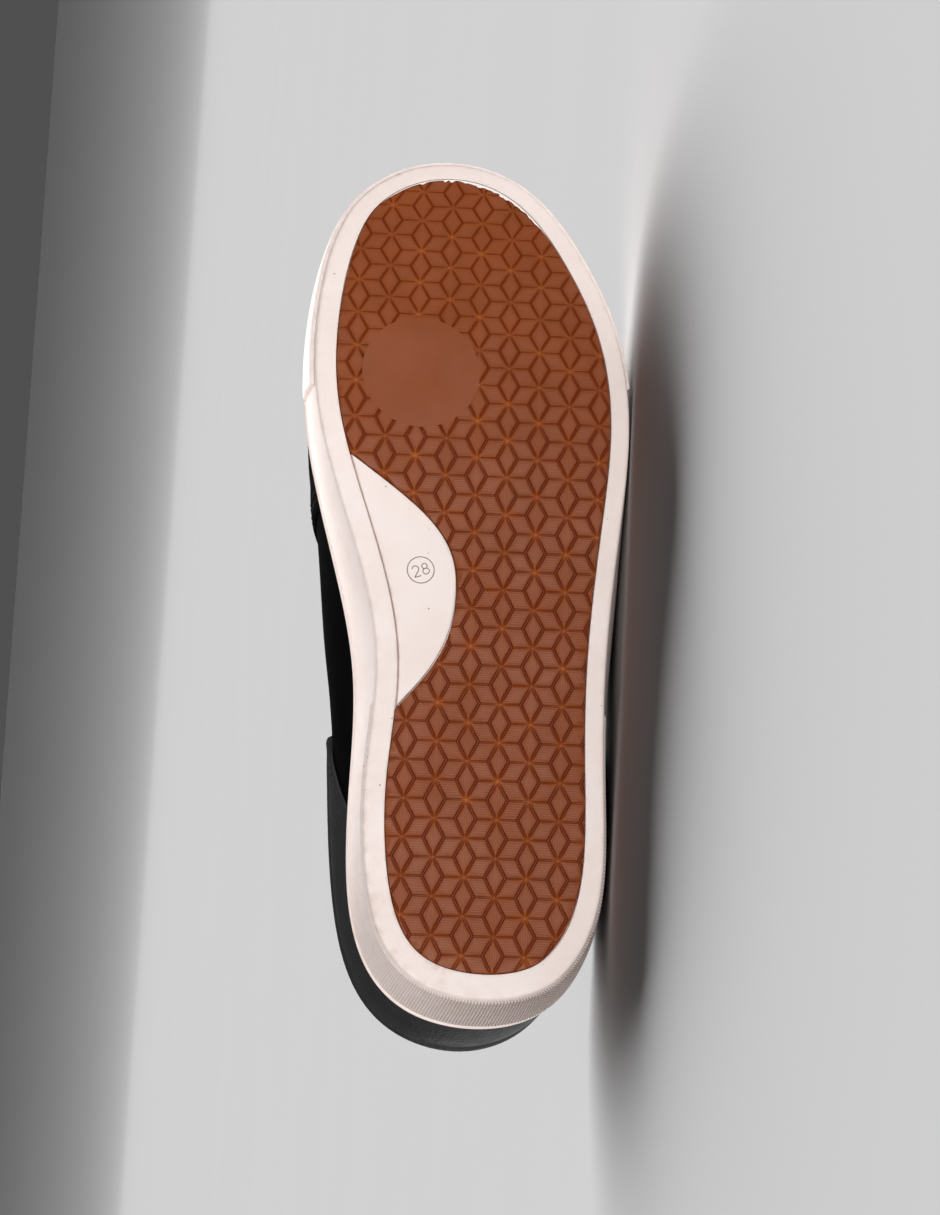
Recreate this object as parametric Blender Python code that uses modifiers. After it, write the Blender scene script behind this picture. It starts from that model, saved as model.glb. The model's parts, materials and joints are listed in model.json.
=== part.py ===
"""A left slip-on sneaker with a white cup sole and a gum tread pad, lying on its outer side.

Tables and named sizes are in millimetres, in the shoe's own frame: along runs from heel to toe,
across from the inner side (negative) to the outer side (positive), and up away from the ground
that the sole would stand on. A place round the shoe is an angle: 0 at the toe tip, a quarter turn
on the outer side and half a turn at the back of the heel.
"""

import math

import bmesh
import bpy
import numpy as np
from mathutils import Matrix, Vector

MM = 0.001
GAP = 0.3
ROUND_POINTS = 72
PAD_POINTS = 128

# The sole: outline at the ground, lean and height of its wall
SOLE_LENGTH = 306.0
SPRING_START = 182.0
SPRING_RADIUS = 315.0
SOLE_TABLE = {
    # along: inner edge, outer edge, inner flare, outer flare, wall height
    306.0: (-17.6, -17.6, 1.5, 1.5, 25.0),
    301.0: (-37.0, 1.4, 1.5, 1.5, 25.5),
    288.0: (-51.5, 16.6, 1.2, 0.8, 26.0),
    268.0: (-59.0, 29.4, 1.0, 0.0, 26.0),
    240.0: (-62.6, 41.3, 1.2, -0.5, 26.0),
    205.0: (-61.2, 46.3, 2.0, -0.5, 26.0),
    165.0: (-50.2, 43.5, 4.6, 3.0, 26.5),
    120.0: (-39.6, 40.0, 5.6, 4.2, 27.0),
    80.0: (-41.4, 40.2, 3.0, 2.0, 28.0),
    45.0: (-40.3, 41.0, 3.4, 1.6, 29.0),
    18.0: (-33.0, 35.0, 4.2, 2.8, 30.0),
    4.0: (-18.5, 21.0, 4.8, 4.4, 31.0),
    0.0: (1.0, 1.0, 5.0, 5.0, 31.0),
}
WALL_BELLY = 0.8
WALL_SHARES = (0.05, 0.35, 0.65, 1.0)
CUP_WALL = 3.2
FLOOR_AT_HEEL = 16.0
FLOOR_AT_BALL = 9.0
BALL_ALONG = 205.0
RIM_WIDTH = 7.2
RIM_EXTRA_AT_HEEL = 1.8
HEEL_SHARPNESS = 8
EDGE_ROUND = 1.2
RECESS_DEPTH = 4.0

# The curve between the tread pad and the arch insert
ARCH_TABLE = {
    # along: across
    101.0: -31.0,
    113.0: -21.4,
    129.0: -13.9,
    142.0: -12.2,
    155.0: -14.0,
    167.0: -21.6,
    181.0: -38.4,
    190.0: -51.0,
}
ARCH_POINTS = 18
ARCH_TIP = 3.0

# Bands on the sole wall, each with its ends along the shoe and its share of the wall's height
BUMPER_INNER_END = 214.0
BUMPER_OUTER_END = 219.0
BAND_OUTER_END = 102.0
BAND_INNER_END_LOW = 103.0
BAND_INNER_END_HIGH = 80.0
BAND_LOW = 0.10
BAND_HIGH = 0.88
BAND_ROWS = 5
BUMPER_THICK = 0.9
BUMPER_POINTS = 34
HEEL_BAND_THICK = 0.7
HEEL_BAND_POINTS = 30

# The upper: each rib is a curve from the cup's edge to the collar
UPPER_WALL = 2.0
UPPER_TABLE = {
    # along: collar along, inner, outer and height; rise, inner and outer swell, reach, drop
    306.0: (148.0, -5.0, -5.0, 88.0, 19.0, 2.5, 2.5, 0.58, 18.5),
    301.0: (147.5, -9.5, -0.5, 87.7, 19.5, 2.5, 2.5, 0.58, 18.0),
    288.0: (146.3, -14.0, 4.0, 87.0, 21.0, 2.5, 2.5, 0.59, 16.5),
    268.0: (144.0, -18.5, 9.5, 85.5, 24.0, 2.5, 2.5, 0.62, 14.0),
    240.0: (139.5, -23.0, 15.0, 82.5, 28.0, 2.5, 2.5, 0.66, 11.0),
    205.0: (131.0, -26.5, 20.5, 77.5, 29.0, 5.0, 3.0, 0.74, 9.0),
    165.0: (117.0, -29.5, 25.5, 71.0, 23.0, 12.0, 7.0, 0.98, 11.0),
    120.0: (97.0, -31.0, 29.0, 66.0, 16.0, 17.0, 9.0, 1.40, 14.0),
    80.0: (73.0, -31.5, 30.5, 63.5, 14.0, 16.0, 8.0, 1.60, 13.0),
    45.0: (46.0, -30.0, 30.0, 66.0, 15.0, 12.0, 7.0, 1.45, 14.0),
    18.0: (24.0, -25.0, 25.5, 72.5, 17.0, 10.0, 7.0, 1.50, 15.0),
    4.0: (9.0, -15.5, 16.5, 79.0, 19.0, 11.0, 9.0, 1.80, 16.0),
    0.0: (3.5, 0.5, 0.5, 82.0, 20.0, 12.0, 12.0, 2.00, 16.0),
}
UPPER_CLEAR = 0.5
UPPER_FOOT = 0.08
UPPER_STEPS = 13
UPPER_CROWDING = 1.3

# Leather overlays on the upper
OVERLAY_GAP = 0.4
OVERLAY_THICK = 1.1
OVERLAY_START = 0.05
VAMP_STEPS_BACK = 16
VAMP_COLLAR_MARGIN = 9.0
COUNTER_FRONT_LOW = 68.0
COUNTER_FRONT_HIGH = 97.0
COUNTER_TOP = 0.60
COUNTER_STEPS = 9
COUNTER_POINTS = 40

INSOLE_THICK = 4.0

# Least sideways share of the direction that faces the floor
LYING_SHARE = 0.7
NUDGE = 1e-4

# Colours and roughness
MATERIALS = {
    "gum_rubber": ((0.30, 0.085, 0.042), 0.55),
    "white_rubber": ((0.84, 0.80, 0.77), 0.50),
    "black_leather": ((0.012, 0.012, 0.013), 0.45),
    "insole_fabric": ((0.05, 0.05, 0.055), 0.90),
}


def angle_of(along):
    """The angle of a place on the outer side, from its distance along the sole."""
    return np.arccos(np.clip(2 * np.asarray(along) / SOLE_LENGTH - 1, -1, 1))


def spline(knots, values, period):
    """A smooth curve through the values, closed over the period: a cubic on each stretch."""
    knots = np.asarray(knots, float)
    values = np.asarray(values, float)
    count = len(knots)
    step = np.diff(np.append(knots, knots[0] + period))
    change = (np.roll(values, -1) - values) / step
    before = np.roll(step, 1)
    system = np.zeros((count, count))
    index = np.arange(count)
    system[index, index] = 2 * (before + step)
    system[index, index - 1] += before
    system[index, (index + 1) % count] += step
    bend = np.linalg.solve(system, 6 * (change - np.roll(change, 1)))

    def at(place):
        place = np.mod(np.asarray(place, float) - knots[0], period) + knots[0]
        start = np.clip(np.searchsorted(knots, place, side="right") - 1, 0, count - 1)
        end = (start + 1) % count
        far = place - knots[start]
        slope = change[start] - step[start] * (2 * bend[start] + bend[end]) / 6
        cubic = (bend[end] - bend[start]) / (6 * step[start])
        return values[start] + far * (slope + far * (bend[start] / 2 + far * cubic))

    return at


def round_shoe(table, inner, outer):
    """A closed curve over the angle, from one column for the inner side and one for the outer."""
    rows = sorted(table, reverse=True)
    angles = [float(angle_of(along)) for along in rows]
    values = [table[along][outer] for along in rows]
    for along in reversed(rows[1:-1]):
        angles.append(2 * math.pi - float(angle_of(along)))
        values.append(table[along][inner])
    return spline(angles, values, 2 * math.pi)


SOLE_ACROSS = round_shoe(SOLE_TABLE, 0, 1)
SOLE_FLARE = round_shoe(SOLE_TABLE, 2, 3)
SOLE_HEIGHT = round_shoe(SOLE_TABLE, 4, 4)
COLLAR_ALONG = round_shoe(UPPER_TABLE, 0, 0)
COLLAR_ACROSS = round_shoe(UPPER_TABLE, 1, 2)
COLLAR_HEIGHT = round_shoe(UPPER_TABLE, 3, 3)
RIB_RISE = round_shoe(UPPER_TABLE, 4, 4)
RIB_SWELL = round_shoe(UPPER_TABLE, 5, 6)
RIB_REACH = round_shoe(UPPER_TABLE, 7, 7)
RIB_DROP = round_shoe(UPPER_TABLE, 8, 8)
LOOP = np.arange(ROUND_POINTS) * 2 * math.pi / ROUND_POINTS
PAD_LOOP = np.arange(PAD_POINTS) * 2 * math.pi / PAD_POINTS
SHARES = np.linspace(0, 1, UPPER_STEPS) ** UPPER_CROWDING


def spring(along):
    """Height of the sole's underside: flat from the heel to the ball, then an arc up to the toe."""
    far = np.maximum(np.asarray(along) - SPRING_START, 0)
    return SPRING_RADIUS - np.sqrt(SPRING_RADIUS**2 - far**2)


def cup_floor(along):
    """Height of the cup's floor above the underside, thickest under the heel."""
    share = np.clip(np.asarray(along) / BALL_ALONG, 0, 1)
    ease = share * share * (3 - 2 * share)
    return FLOOR_AT_HEEL + (FLOOR_AT_BALL - FLOOR_AT_HEEL) * ease


def sole_edge(angle):
    """Plan of the sole's outline at the ground, as points and outward directions."""
    angle = np.asarray(angle, float)
    half = SOLE_LENGTH / 2
    point = np.stack([half + half * np.cos(angle), SOLE_ACROSS(angle)], -1)
    run = -half * np.sin(angle)
    climb = (SOLE_ACROSS(angle + NUDGE) - SOLE_ACROSS(angle - NUDGE)) / (2 * NUDGE)
    outward = np.stack([climb, -run], -1)
    return point, outward / np.linalg.norm(outward, axis=-1, keepdims=True)


def lift(plan, height):
    """Points over a plan, at a height above the sprung underside."""
    up = spring(plan[..., 0]) + height
    return np.concatenate([plan, up[..., None]], -1)


def rim_inset(angle, extra=0.0):
    """Plan of the line inside the rim, a little wider at the back of the heel."""
    point, outward = sole_edge(angle)
    at_heel = np.maximum(-np.cos(angle), 0) ** HEEL_SHARPNESS
    width = RIM_WIDTH + RIM_EXTRA_AT_HEEL * at_heel + extra
    return point - outward * width[..., None]


def wall(angle, share):
    """The outside of the cup's wall, from the ground (share 0) to its top edge (share 1)."""
    point, outward = sole_edge(angle)
    lean = SOLE_FLARE(angle) * share + WALL_BELLY * 4 * share * (1 - share)
    plan = point + outward * lean[..., None]
    up = spring(point[..., 0]) + SOLE_HEIGHT(angle) * share
    return np.concatenate([plan, up[..., None]], -1)


def cup_inside(angle, share, inset=0.0):
    """The inside of the cup's wall, from the cup floor (share 0) to the top edge (share 1)."""
    point, outward = sole_edge(angle)
    low = cup_floor(point[..., 0]) / SOLE_HEIGHT(angle)
    part = low + (1 - low) * share
    plan = point + outward * (SOLE_FLARE(angle) * part - CUP_WALL - inset)[..., None]
    up = spring(point[..., 0]) + SOLE_HEIGHT(angle) * part
    return np.concatenate([plan, up[..., None]], -1)


def rib_points(angle):
    """The four control points of the rib at an angle, from the cup's edge to the collar."""
    foot = cup_inside(angle, 1.0, UPPER_CLEAR)
    _, outward = sole_edge(angle)
    shoulder = foot.copy()
    shoulder[..., :2] += outward * RIB_SWELL(angle)[..., None]
    shoulder[..., 2] += RIB_RISE(angle)
    collar = np.stack([COLLAR_ALONG(angle), COLLAR_ACROSS(angle), COLLAR_HEIGHT(angle)], -1)
    under = collar.copy()
    under[..., :2] += (foot - collar)[..., :2] * RIB_REACH(angle)[..., None]
    under[..., 2] -= RIB_DROP(angle)
    return foot, shoulder, under, collar


def upper(angle, share):
    """The outside of the upper: share 0 at the cup's edge, share 1 at the collar."""
    foot, shoulder, under, collar = rib_points(angle)
    share = np.asarray(share, float)[..., None]
    rest = 1 - share
    near = foot * rest**3 + shoulder * 3 * rest**2 * share
    return near + under * 3 * rest * share**2 + collar * share**3


def off_surface(surface, first, second, distance):
    """Points of a surface of two values, moved along its outward direction by a distance."""
    along_first = surface(first + NUDGE, second) - surface(first - NUDGE, second)
    along_second = surface(first, second + NUDGE) - surface(first, second - NUDGE)
    outward = np.cross(along_first, along_second)
    outward /= np.linalg.norm(outward, axis=-1, keepdims=True)
    return surface(first, second) + outward * distance


def material(slot):
    """The plain finish of one slot."""
    colour, roughness = MATERIALS[slot]
    made = bpy.data.materials.get(slot) or bpy.data.materials.new(slot)
    made.use_nodes = True
    shader = made.node_tree.nodes["Principled BSDF"]
    shader.inputs["Base Color"].default_value = (*colour, 1.0)
    shader.inputs["Roughness"].default_value = roughness
    shader.inputs["Metallic"].default_value = 0.0
    return made


def add_object(name, points, faces, slot):
    """A mesh object of points in millimetres, under the shoe's empty."""
    mesh = bpy.data.meshes.new(name)
    mesh.from_pydata((np.asarray(points) * MM).tolist(), [], faces)
    mesh.materials.append(material(slot))
    made = bpy.data.objects.new(name, mesh)
    made.parent = bpy.data.objects["shoe"]
    bpy.data.collections["sneaker"].objects.link(made)
    return made


def strips_across(start, count):
    """Faces that fill a loop, each from a stretch of its outer side to the inner side facing it."""
    loop = [start + place for place in range(count)]
    faces = [(loop[0], loop[1], loop[-1])]
    for place in range(1, count // 2 - 1):
        faces.append((loop[place], loop[place + 1], loop[count - place - 1], loop[count - place]))
    middle = count // 2
    faces.append((loop[middle - 1], loop[middle], loop[middle + 1]))
    return faces


def ring_solid(name, rings, slot):
    """A closed solid: rings joined one to the next, the first and the last filled across."""
    count = len(rings[0])
    faces = strips_across(0, count)
    for row in range(len(rings) - 1):
        low = row * count
        for place in range(count):
            after = (place + 1) % count
            faces.append((low + place, low + after, low + count + after, low + count + place))
    faces += strips_across((len(rings) - 1) * count, count)
    made = add_object(name, np.concatenate(rings), faces, slot)
    shape = bmesh.new()
    shape.from_mesh(made.data)
    bmesh.ops.recalc_face_normals(shape, faces=shape.faces)
    shape.to_mesh(made.data)
    shape.free()
    return made


def shell(name, grid, closed, thick, side, slot):
    """A wall of even thickness on a grid of points, to its outer side (1) or its inner side (-1)."""
    rows, count = grid.shape[:2]
    faces = []
    for row in range(rows - 1):
        for place in range(count if closed else count - 1):
            after = (place + 1) % count
            low = row * count
            faces.append((low + place, low + after, low + count + after, low + count + place))
    made = add_object(name, grid.reshape(-1, 3), faces, slot)
    solidify = made.modifiers.new("wall", "SOLIDIFY")
    solidify.thickness = thick * MM
    solidify.offset = side
    return made


def make_cupsole():
    """The white cup: rim and recess below, wall round the side, floor inside."""
    inside = rim_inset(LOOP)
    edge, outward = sole_edge(LOOP)
    rings = [
        lift(inside, RECESS_DEPTH),
        lift(inside, 0.0),
        lift(edge - outward * EDGE_ROUND, 0.0),
    ]
    rings += [wall(LOOP, share) for share in WALL_SHARES]
    rings += [cup_inside(LOOP, 1.0), cup_inside(LOOP, 0.0)]
    ring_solid("cupsole", rings, "white_rubber")


def arch_line(along):
    """Across position of the curve between the tread pad and the arch insert."""
    rows = sorted(ARCH_TABLE)
    far_round = 3 * SOLE_LENGTH
    curve = spline(rows, [ARCH_TABLE[row] for row in rows], far_round)
    return curve(along)


def pad_outline():
    """Plan of the tread pad: the line inside the rim, cut away over the arch."""
    plan = rim_inset(PAD_LOOP, GAP)
    start, end = min(ARCH_TABLE), max(ARCH_TABLE)
    beside_arch = (PAD_LOOP > math.pi) & (plan[:, 0] > start) & (plan[:, 0] < end)
    cut = arch_line(np.clip(plan[:, 0], start, end))
    plan[:, 1] = np.where(beside_arch, np.maximum(plan[:, 1], cut), plan[:, 1])
    return plan


def make_outsole_gum():
    """The gum tread pad in the recess."""
    plan = pad_outline()
    ring_solid("outsole_gum", [lift(plan, 0.0), lift(plan, RECESS_DEPTH - GAP)], "gum_rubber")


def make_arch_insert():
    """The white piece between the arch curve and the inner rim, pointed at both ends."""
    inner_half = PAD_LOOP > math.pi
    rim = rim_inset(PAD_LOOP, GAP)[inner_half]
    pad = pad_outline()[inner_half]
    along = np.linspace(max(ARCH_TABLE) - ARCH_TIP, min(ARCH_TABLE) + ARCH_TIP, ARCH_POINTS)
    low = np.interp(along, rim[:, 0], rim[:, 1])
    high = np.interp(along, pad[:, 0], pad[:, 1]) - 2 * GAP
    nose = [[along[0] + ARCH_TIP / 3, low[0] + GAP]]
    tail = [[along[-1] - ARCH_TIP / 3, low[-1] + GAP]]
    outer_side = np.stack([along, high], -1)
    inner_side = np.stack([along, low], -1)[::-1]
    plan = np.concatenate([nose, outer_side, tail, inner_side])
    rings = [lift(plan, 0.0), lift(plan, RECESS_DEPTH - GAP)]
    ring_solid("arch_insert", rings, "white_rubber")


def wall_band(name, start, end, thick, points):
    """A band on the cup's wall between two end angles, each given at its low and its high edge."""
    rise = np.linspace(0, 1, BAND_ROWS)[:, None]
    run = np.linspace(0, 1, points)[None, :]
    first = start[0] + (start[1] - start[0]) * rise
    last = end[0] + (end[1] - end[0]) * rise
    angle = first + (last - first) * run
    share = BAND_LOW + (BAND_HIGH - BAND_LOW) * rise + 0 * run
    shell(name, off_surface(wall, angle, share, GAP), False, thick, 1, "white_rubber")


def make_bands():
    """The toe bumper and the heel band."""
    full = 2 * math.pi
    inner_end = -angle_of(BUMPER_INNER_END)
    outer_end = angle_of(BUMPER_OUTER_END)
    wall_band("toe_bumper", (inner_end, inner_end), (outer_end, outer_end), BUMPER_THICK, BUMPER_POINTS)
    front = angle_of(BAND_OUTER_END)
    low_end = full - angle_of(BAND_INNER_END_LOW)
    high_end = full - angle_of(BAND_INNER_END_HIGH)
    wall_band("heel_band", (front, front), (low_end, high_end), HEEL_BAND_THICK, HEEL_BAND_POINTS)


def make_upper():
    """The leather wall from the cup floor to the collar, open at both."""
    rows = [cup_inside(LOOP, UPPER_FOOT, UPPER_CLEAR)]
    rows += [upper(LOOP, np.full(ROUND_POINTS, share)) for share in SHARES]
    shell("upper", np.stack(rows), True, UPPER_WALL, -1, "black_leather")


def make_vamp_panel():
    """The overlay over the toe and vamp, from the cup's edge to a margin below the collar."""
    steps = np.arange(-VAMP_STEPS_BACK, VAMP_STEPS_BACK + 1)
    angle = steps[None, :] * 2 * math.pi / ROUND_POINTS
    _, _, under, collar = rib_points(angle)
    speed = 3 * np.linalg.norm(collar - under, axis=-1)
    top = 1 - VAMP_COLLAR_MARGIN / speed
    share = np.minimum(SHARES[1:-1, None], top)
    share[-1] = top
    grid = off_surface(upper, angle + 0 * share, share, OVERLAY_GAP)
    shell("vamp_panel", grid, False, OVERLAY_THICK, 1, "black_leather")


def make_heel_counter():
    """The overlay round the heel, its front edges leaning forward as they rise."""
    rise = np.linspace(0, 1, COUNTER_STEPS)[:, None]
    run = np.linspace(0, 1, COUNTER_POINTS)[None, :]
    front = angle_of(COUNTER_FRONT_LOW + (COUNTER_FRONT_HIGH - COUNTER_FRONT_LOW) * rise)
    angle = front + (2 * math.pi - 2 * front) * run
    share = OVERLAY_START + (COUNTER_TOP - OVERLAY_START) * rise + 0 * run
    grid = off_surface(upper, angle, share, OVERLAY_GAP)
    shell("heel_counter", grid, False, OVERLAY_THICK, 1, "black_leather")


def make_insole():
    """The foot bed, inside the upper's lower edge."""
    inset = UPPER_CLEAR + UPPER_WALL + GAP
    low = cup_inside(LOOP, 0.0, inset)
    low[:, 2] += GAP
    high = low.copy()
    high[:, 2] += INSOLE_THICK
    ring_solid("insole", [low, high], "insole_fabric")


def evaluated_solids():
    """Points of every part in the shoe's frame, and the centre of their volume."""
    bpy.context.view_layer.update()
    graph = bpy.context.evaluated_depsgraph_get()
    points = []
    volume = 0.0
    moment = Vector((0.0, 0.0, 0.0))
    for part in bpy.data.collections["sneaker"].objects:
        if part.type != "MESH":
            continue
        mesh = part.evaluated_get(graph).to_mesh()
        mesh.calc_loop_triangles()
        points += [corner.co.copy() for corner in mesh.vertices]
        for triangle in mesh.loop_triangles:
            a, b, c = (mesh.vertices[corner].co for corner in triangle.vertices)
            piece = a.dot(b.cross(c)) / 6
            volume += piece
            moment += piece * (a + b + c) / 4
    return points, moment / volume


def resting_side(points, centre):
    """Outward direction of the hull's face on the outer side that carries the centre of volume."""
    shape = bmesh.new()
    for point in points:
        shape.verts.new(point)
    bmesh.ops.convex_hull(shape, input=shape.verts)
    bmesh.ops.triangulate(shape, faces=shape.faces)
    middle = sum(points, Vector((0.0, 0.0, 0.0))) / len(points)
    best = None
    for face in shape.faces:
        a, b, c = (corner.co.copy() for corner in face.verts)
        normal = (b - a).cross(c - a).normalized()
        if normal.dot(a - middle) < 0:
            normal.negate()
        foot = centre - normal * normal.dot(centre - a)
        area = normal.dot((b - a).cross(c - a))
        parts = [normal.dot((q - p).cross(foot - p)) / area for p, q in ((a, b), (b, c), (c, a))]
        if normal.y > LYING_SHARE and min(parts) >= 0:
            best = normal
    shape.free()
    return best


def lay_down(shoe):
    """Turns the shoe onto its outer side and stands its box on the origin."""
    points, centre = evaluated_solids()
    down = resting_side(points, centre)
    ahead = Vector((1.0, 0.0, 0.0))
    ahead = (ahead - down * ahead.dot(down)).normalized()
    turn = Matrix((ahead, down.cross(ahead) * -1.0, -down))
    turned = [turn @ point for point in points]
    low = [min(point[axis] for point in turned) for axis in range(3)]
    high = [max(point[axis] for point in turned) for axis in range(3)]
    shift = Vector((-(low[0] + high[0]) / 2, -(low[1] + high[1]) / 2, -low[2]))
    shoe.matrix_world = Matrix.Translation(shift) @ turn.to_4x4()
    bpy.context.view_layer.update()


def main():
    """Builds the shoe standing, then lays it on its side."""
    for old in list(bpy.data.objects):
        bpy.data.objects.remove(old, do_unlink=True)
    parts = bpy.data.collections.new("sneaker")
    bpy.context.scene.collection.children.link(parts)
    shoe = bpy.data.objects.new("shoe", None)
    parts.objects.link(shoe)
    make_cupsole()
    make_outsole_gum()
    make_arch_insert()
    make_bands()
    make_upper()
    make_vamp_panel()
    make_heel_counter()
    make_insole()
    lay_down(shoe)


main()
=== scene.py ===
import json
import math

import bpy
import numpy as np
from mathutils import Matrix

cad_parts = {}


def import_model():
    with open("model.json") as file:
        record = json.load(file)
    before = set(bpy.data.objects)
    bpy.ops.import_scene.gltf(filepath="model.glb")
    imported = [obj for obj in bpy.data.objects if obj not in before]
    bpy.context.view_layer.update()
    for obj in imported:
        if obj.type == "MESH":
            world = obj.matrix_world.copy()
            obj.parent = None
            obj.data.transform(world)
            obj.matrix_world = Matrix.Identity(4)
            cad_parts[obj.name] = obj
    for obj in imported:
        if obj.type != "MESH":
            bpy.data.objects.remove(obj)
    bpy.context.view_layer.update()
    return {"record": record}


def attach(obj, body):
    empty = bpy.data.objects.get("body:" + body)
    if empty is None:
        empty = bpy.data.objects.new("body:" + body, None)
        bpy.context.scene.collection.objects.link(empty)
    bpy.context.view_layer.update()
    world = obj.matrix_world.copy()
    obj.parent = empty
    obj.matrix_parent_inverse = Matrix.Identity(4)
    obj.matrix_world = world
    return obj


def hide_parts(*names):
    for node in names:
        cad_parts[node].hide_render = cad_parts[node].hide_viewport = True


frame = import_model()

# A left slip-on sneaker lying on its outer side, seen from below.
# Sizes are in millimetres in the shoe's own frame: along from heel to toe, across from the inner
# side (negative) to the outer side, up away from the ground that the sole would stand on. A place
# round the shoe is an angle: 0 at the toe tip, a quarter turn on the outer side, half a turn at
# the back of the heel.

MM = 0.001
FULL = 2 * math.pi
NUDGE = 1e-4

# Sole and upper, with the frame's sizes
SOLE_LENGTH = 306.0
SPRING_START = 182.0
SPRING_RADIUS = 315.0
SOLE_TABLE = {
    # along: inner edge, outer edge, inner flare, outer flare, wall height
    306.0: (-17.6, -17.6, 1.5, 1.5, 25.0),
    301.0: (-37.0, 1.4, 1.5, 1.5, 25.5),
    288.0: (-51.5, 16.6, 1.2, 0.8, 26.0),
    268.0: (-59.0, 29.4, 1.0, 0.0, 26.0),
    240.0: (-62.6, 41.3, 1.2, -0.5, 26.0),
    205.0: (-61.2, 46.3, 2.0, -0.5, 26.0),
    165.0: (-50.2, 43.5, 4.6, 3.0, 26.5),
    120.0: (-39.6, 40.0, 5.6, 4.2, 27.0),
    80.0: (-41.4, 40.2, 3.0, 2.0, 28.0),
    45.0: (-40.3, 41.0, 3.4, 1.6, 29.0),
    18.0: (-33.0, 35.0, 4.2, 2.8, 30.0),
    4.0: (-18.5, 21.0, 4.8, 4.4, 31.0),
    0.0: (1.0, 1.0, 5.0, 5.0, 31.0),
}
WALL_BELLY = 0.8
CUP_WALL = 3.2
FLOOR_AT_HEEL = 16.0
FLOOR_AT_BALL = 9.0
BALL_ALONG = 205.0
RIM_WIDTH = 7.2
RIM_EXTRA_AT_HEEL = 1.2
HEEL_SHARPNESS = 8
RECESS_DEPTH = 4.0
GAP = 0.3
ARCH_TABLE = {
    # along: across
    101.0: -31.0,
    113.0: -21.4,
    129.0: -13.9,
    142.0: -12.2,
    155.0: -14.0,
    167.0: -21.6,
    181.0: -38.4,
    190.0: -51.0,
}
BUMPER_INNER_END = 214.0
BUMPER_OUTER_END = 219.0
BAND_OUTER_END = 102.0
BAND_INNER_END_LOW = 103.0
BAND_INNER_END_HIGH = 80.0
BAND_LOW = 0.10
BAND_HIGH = 0.88
BUMPER_THICK = 0.9
HEEL_BAND_THICK = 0.7
UPPER_WALL = 2.0
UPPER_TABLE = {
    # along: collar along, inner, outer and height; rise, inner and outer swell, reach, drop
    306.0: (148.0, -5.0, -5.0, 88.0, 19.0, 2.5, 2.5, 0.58, 18.5),
    301.0: (147.5, -9.5, -0.5, 87.7, 19.5, 2.5, 2.5, 0.58, 18.0),
    288.0: (146.3, -14.0, 4.0, 87.0, 21.0, 2.5, 2.5, 0.59, 16.5),
    268.0: (144.0, -18.5, 9.5, 85.5, 24.0, 2.5, 2.5, 0.62, 14.0),
    240.0: (139.5, -23.0, 15.0, 82.5, 28.0, 2.5, 2.5, 0.66, 11.0),
    205.0: (131.0, -26.5, 20.5, 77.5, 29.0, 5.0, 3.0, 0.74, 9.0),
    165.0: (117.0, -29.5, 25.5, 71.0, 23.0, 12.0, 7.0, 0.98, 11.0),
    120.0: (97.0, -31.0, 29.0, 66.0, 16.0, 17.0, 9.0, 1.40, 14.0),
    80.0: (73.0, -31.5, 30.5, 63.5, 14.0, 16.0, 8.0, 1.60, 13.0),
    45.0: (46.0, -30.0, 30.0, 66.0, 15.0, 12.0, 7.0, 1.45, 14.0),
    18.0: (24.0, -25.0, 25.5, 72.5, 17.0, 10.0, 7.0, 1.50, 15.0),
    4.0: (9.0, -15.5, 16.5, 79.0, 19.0, 11.0, 9.0, 1.80, 16.0),
    0.0: (3.5, 0.5, 0.5, 82.0, 20.0, 12.0, 12.0, 2.00, 16.0),
}
# Small corrections of the sole's outline: outward millimetres at angles in degrees
OUTLINE_TRIM = (
    (0, -0.5), (8, 0.1), (20, 0.8), (36, 0.6), (52, 0.1), (64, -0.05), (78, 0.0), (92, -0.05),
    (106, -0.1), (119, -0.12), (131, -0.3), (143, -0.9), (157, -1.8), (170, -1.3), (187, -1.0),
    (203, -0.2), (222, 0.3), (245, -0.2), (268, 0.0), (287, 0.9), (305, 0.8), (316, 0.0),
    (328, -1.3), (340, -1.6), (351, -1.0),
)
# How much slimmer the rim is on the outer side, the angle of that side's middle, and the cosines
# of the angle from there between which it slims down
RIM_SLIM = 0.9
RIM_SLIM_MIDDLE = math.radians(50.0)
RIM_SLIM_SPAN = (-0.1, 0.35)
# The upper's gap to the cup and the share of the cup's inside where its foot stands, then the
# panels over it: gap, thickness, start on the rib, the vamp's back edge and margin below the
# collar, and the places along of the counter's front edge at its foot and top
UPPER_CLEAR = 0.5
UPPER_FOOT = 0.08
OVERLAY_GAP = 0.4
OVERLAY_THICK = 1.1
OVERLAY_START = 0.05
VAMP_BACK = math.radians(80.0)
VAMP_COLLAR_MARGIN = 9.0
COUNTER_FRONT_LOW = 68.0
COUNTER_FRONT_HIGH = 97.0
INSOLE_THICK = 4.0

# Tread: rhombic blocks round six-pointed stars. The place of one star, the pitch of stars along
# and of their columns, how far each column slips along, and the columns and rows from that star
STAR_ALONG = 183.87
STAR_ACROSS = 3.78
STAR_PITCH = 13.44
COLUMN_PITCH = 10.67
COLUMN_SHIFT = 0.185
STAR_COLUMNS = np.arange(-8, 7)
STAR_ROWS = np.arange(-16, 12)
# Blocks are kept this far past the ends of the sole and this far from its middle line
PLAN_MARGIN = 4.0
PLAN_MIDDLE = -8.0
PLAN_HALF = 66.0
# Towards the toe the pattern closes up and drifts outwards
TOE_START = 225.0
TOE_CLOSING = 0.030
TOE_DRIFT = 0.0003
# A groove's depth, the half widths of its floor and of its top, and the share of them in the
# thin grooves across the shoe
GROOVE_DEPTH = 0.85
GROOVE_FLOOR = 0.28
GROOVE_TOP = 0.66
THIN_GROOVE = 0.60
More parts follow.
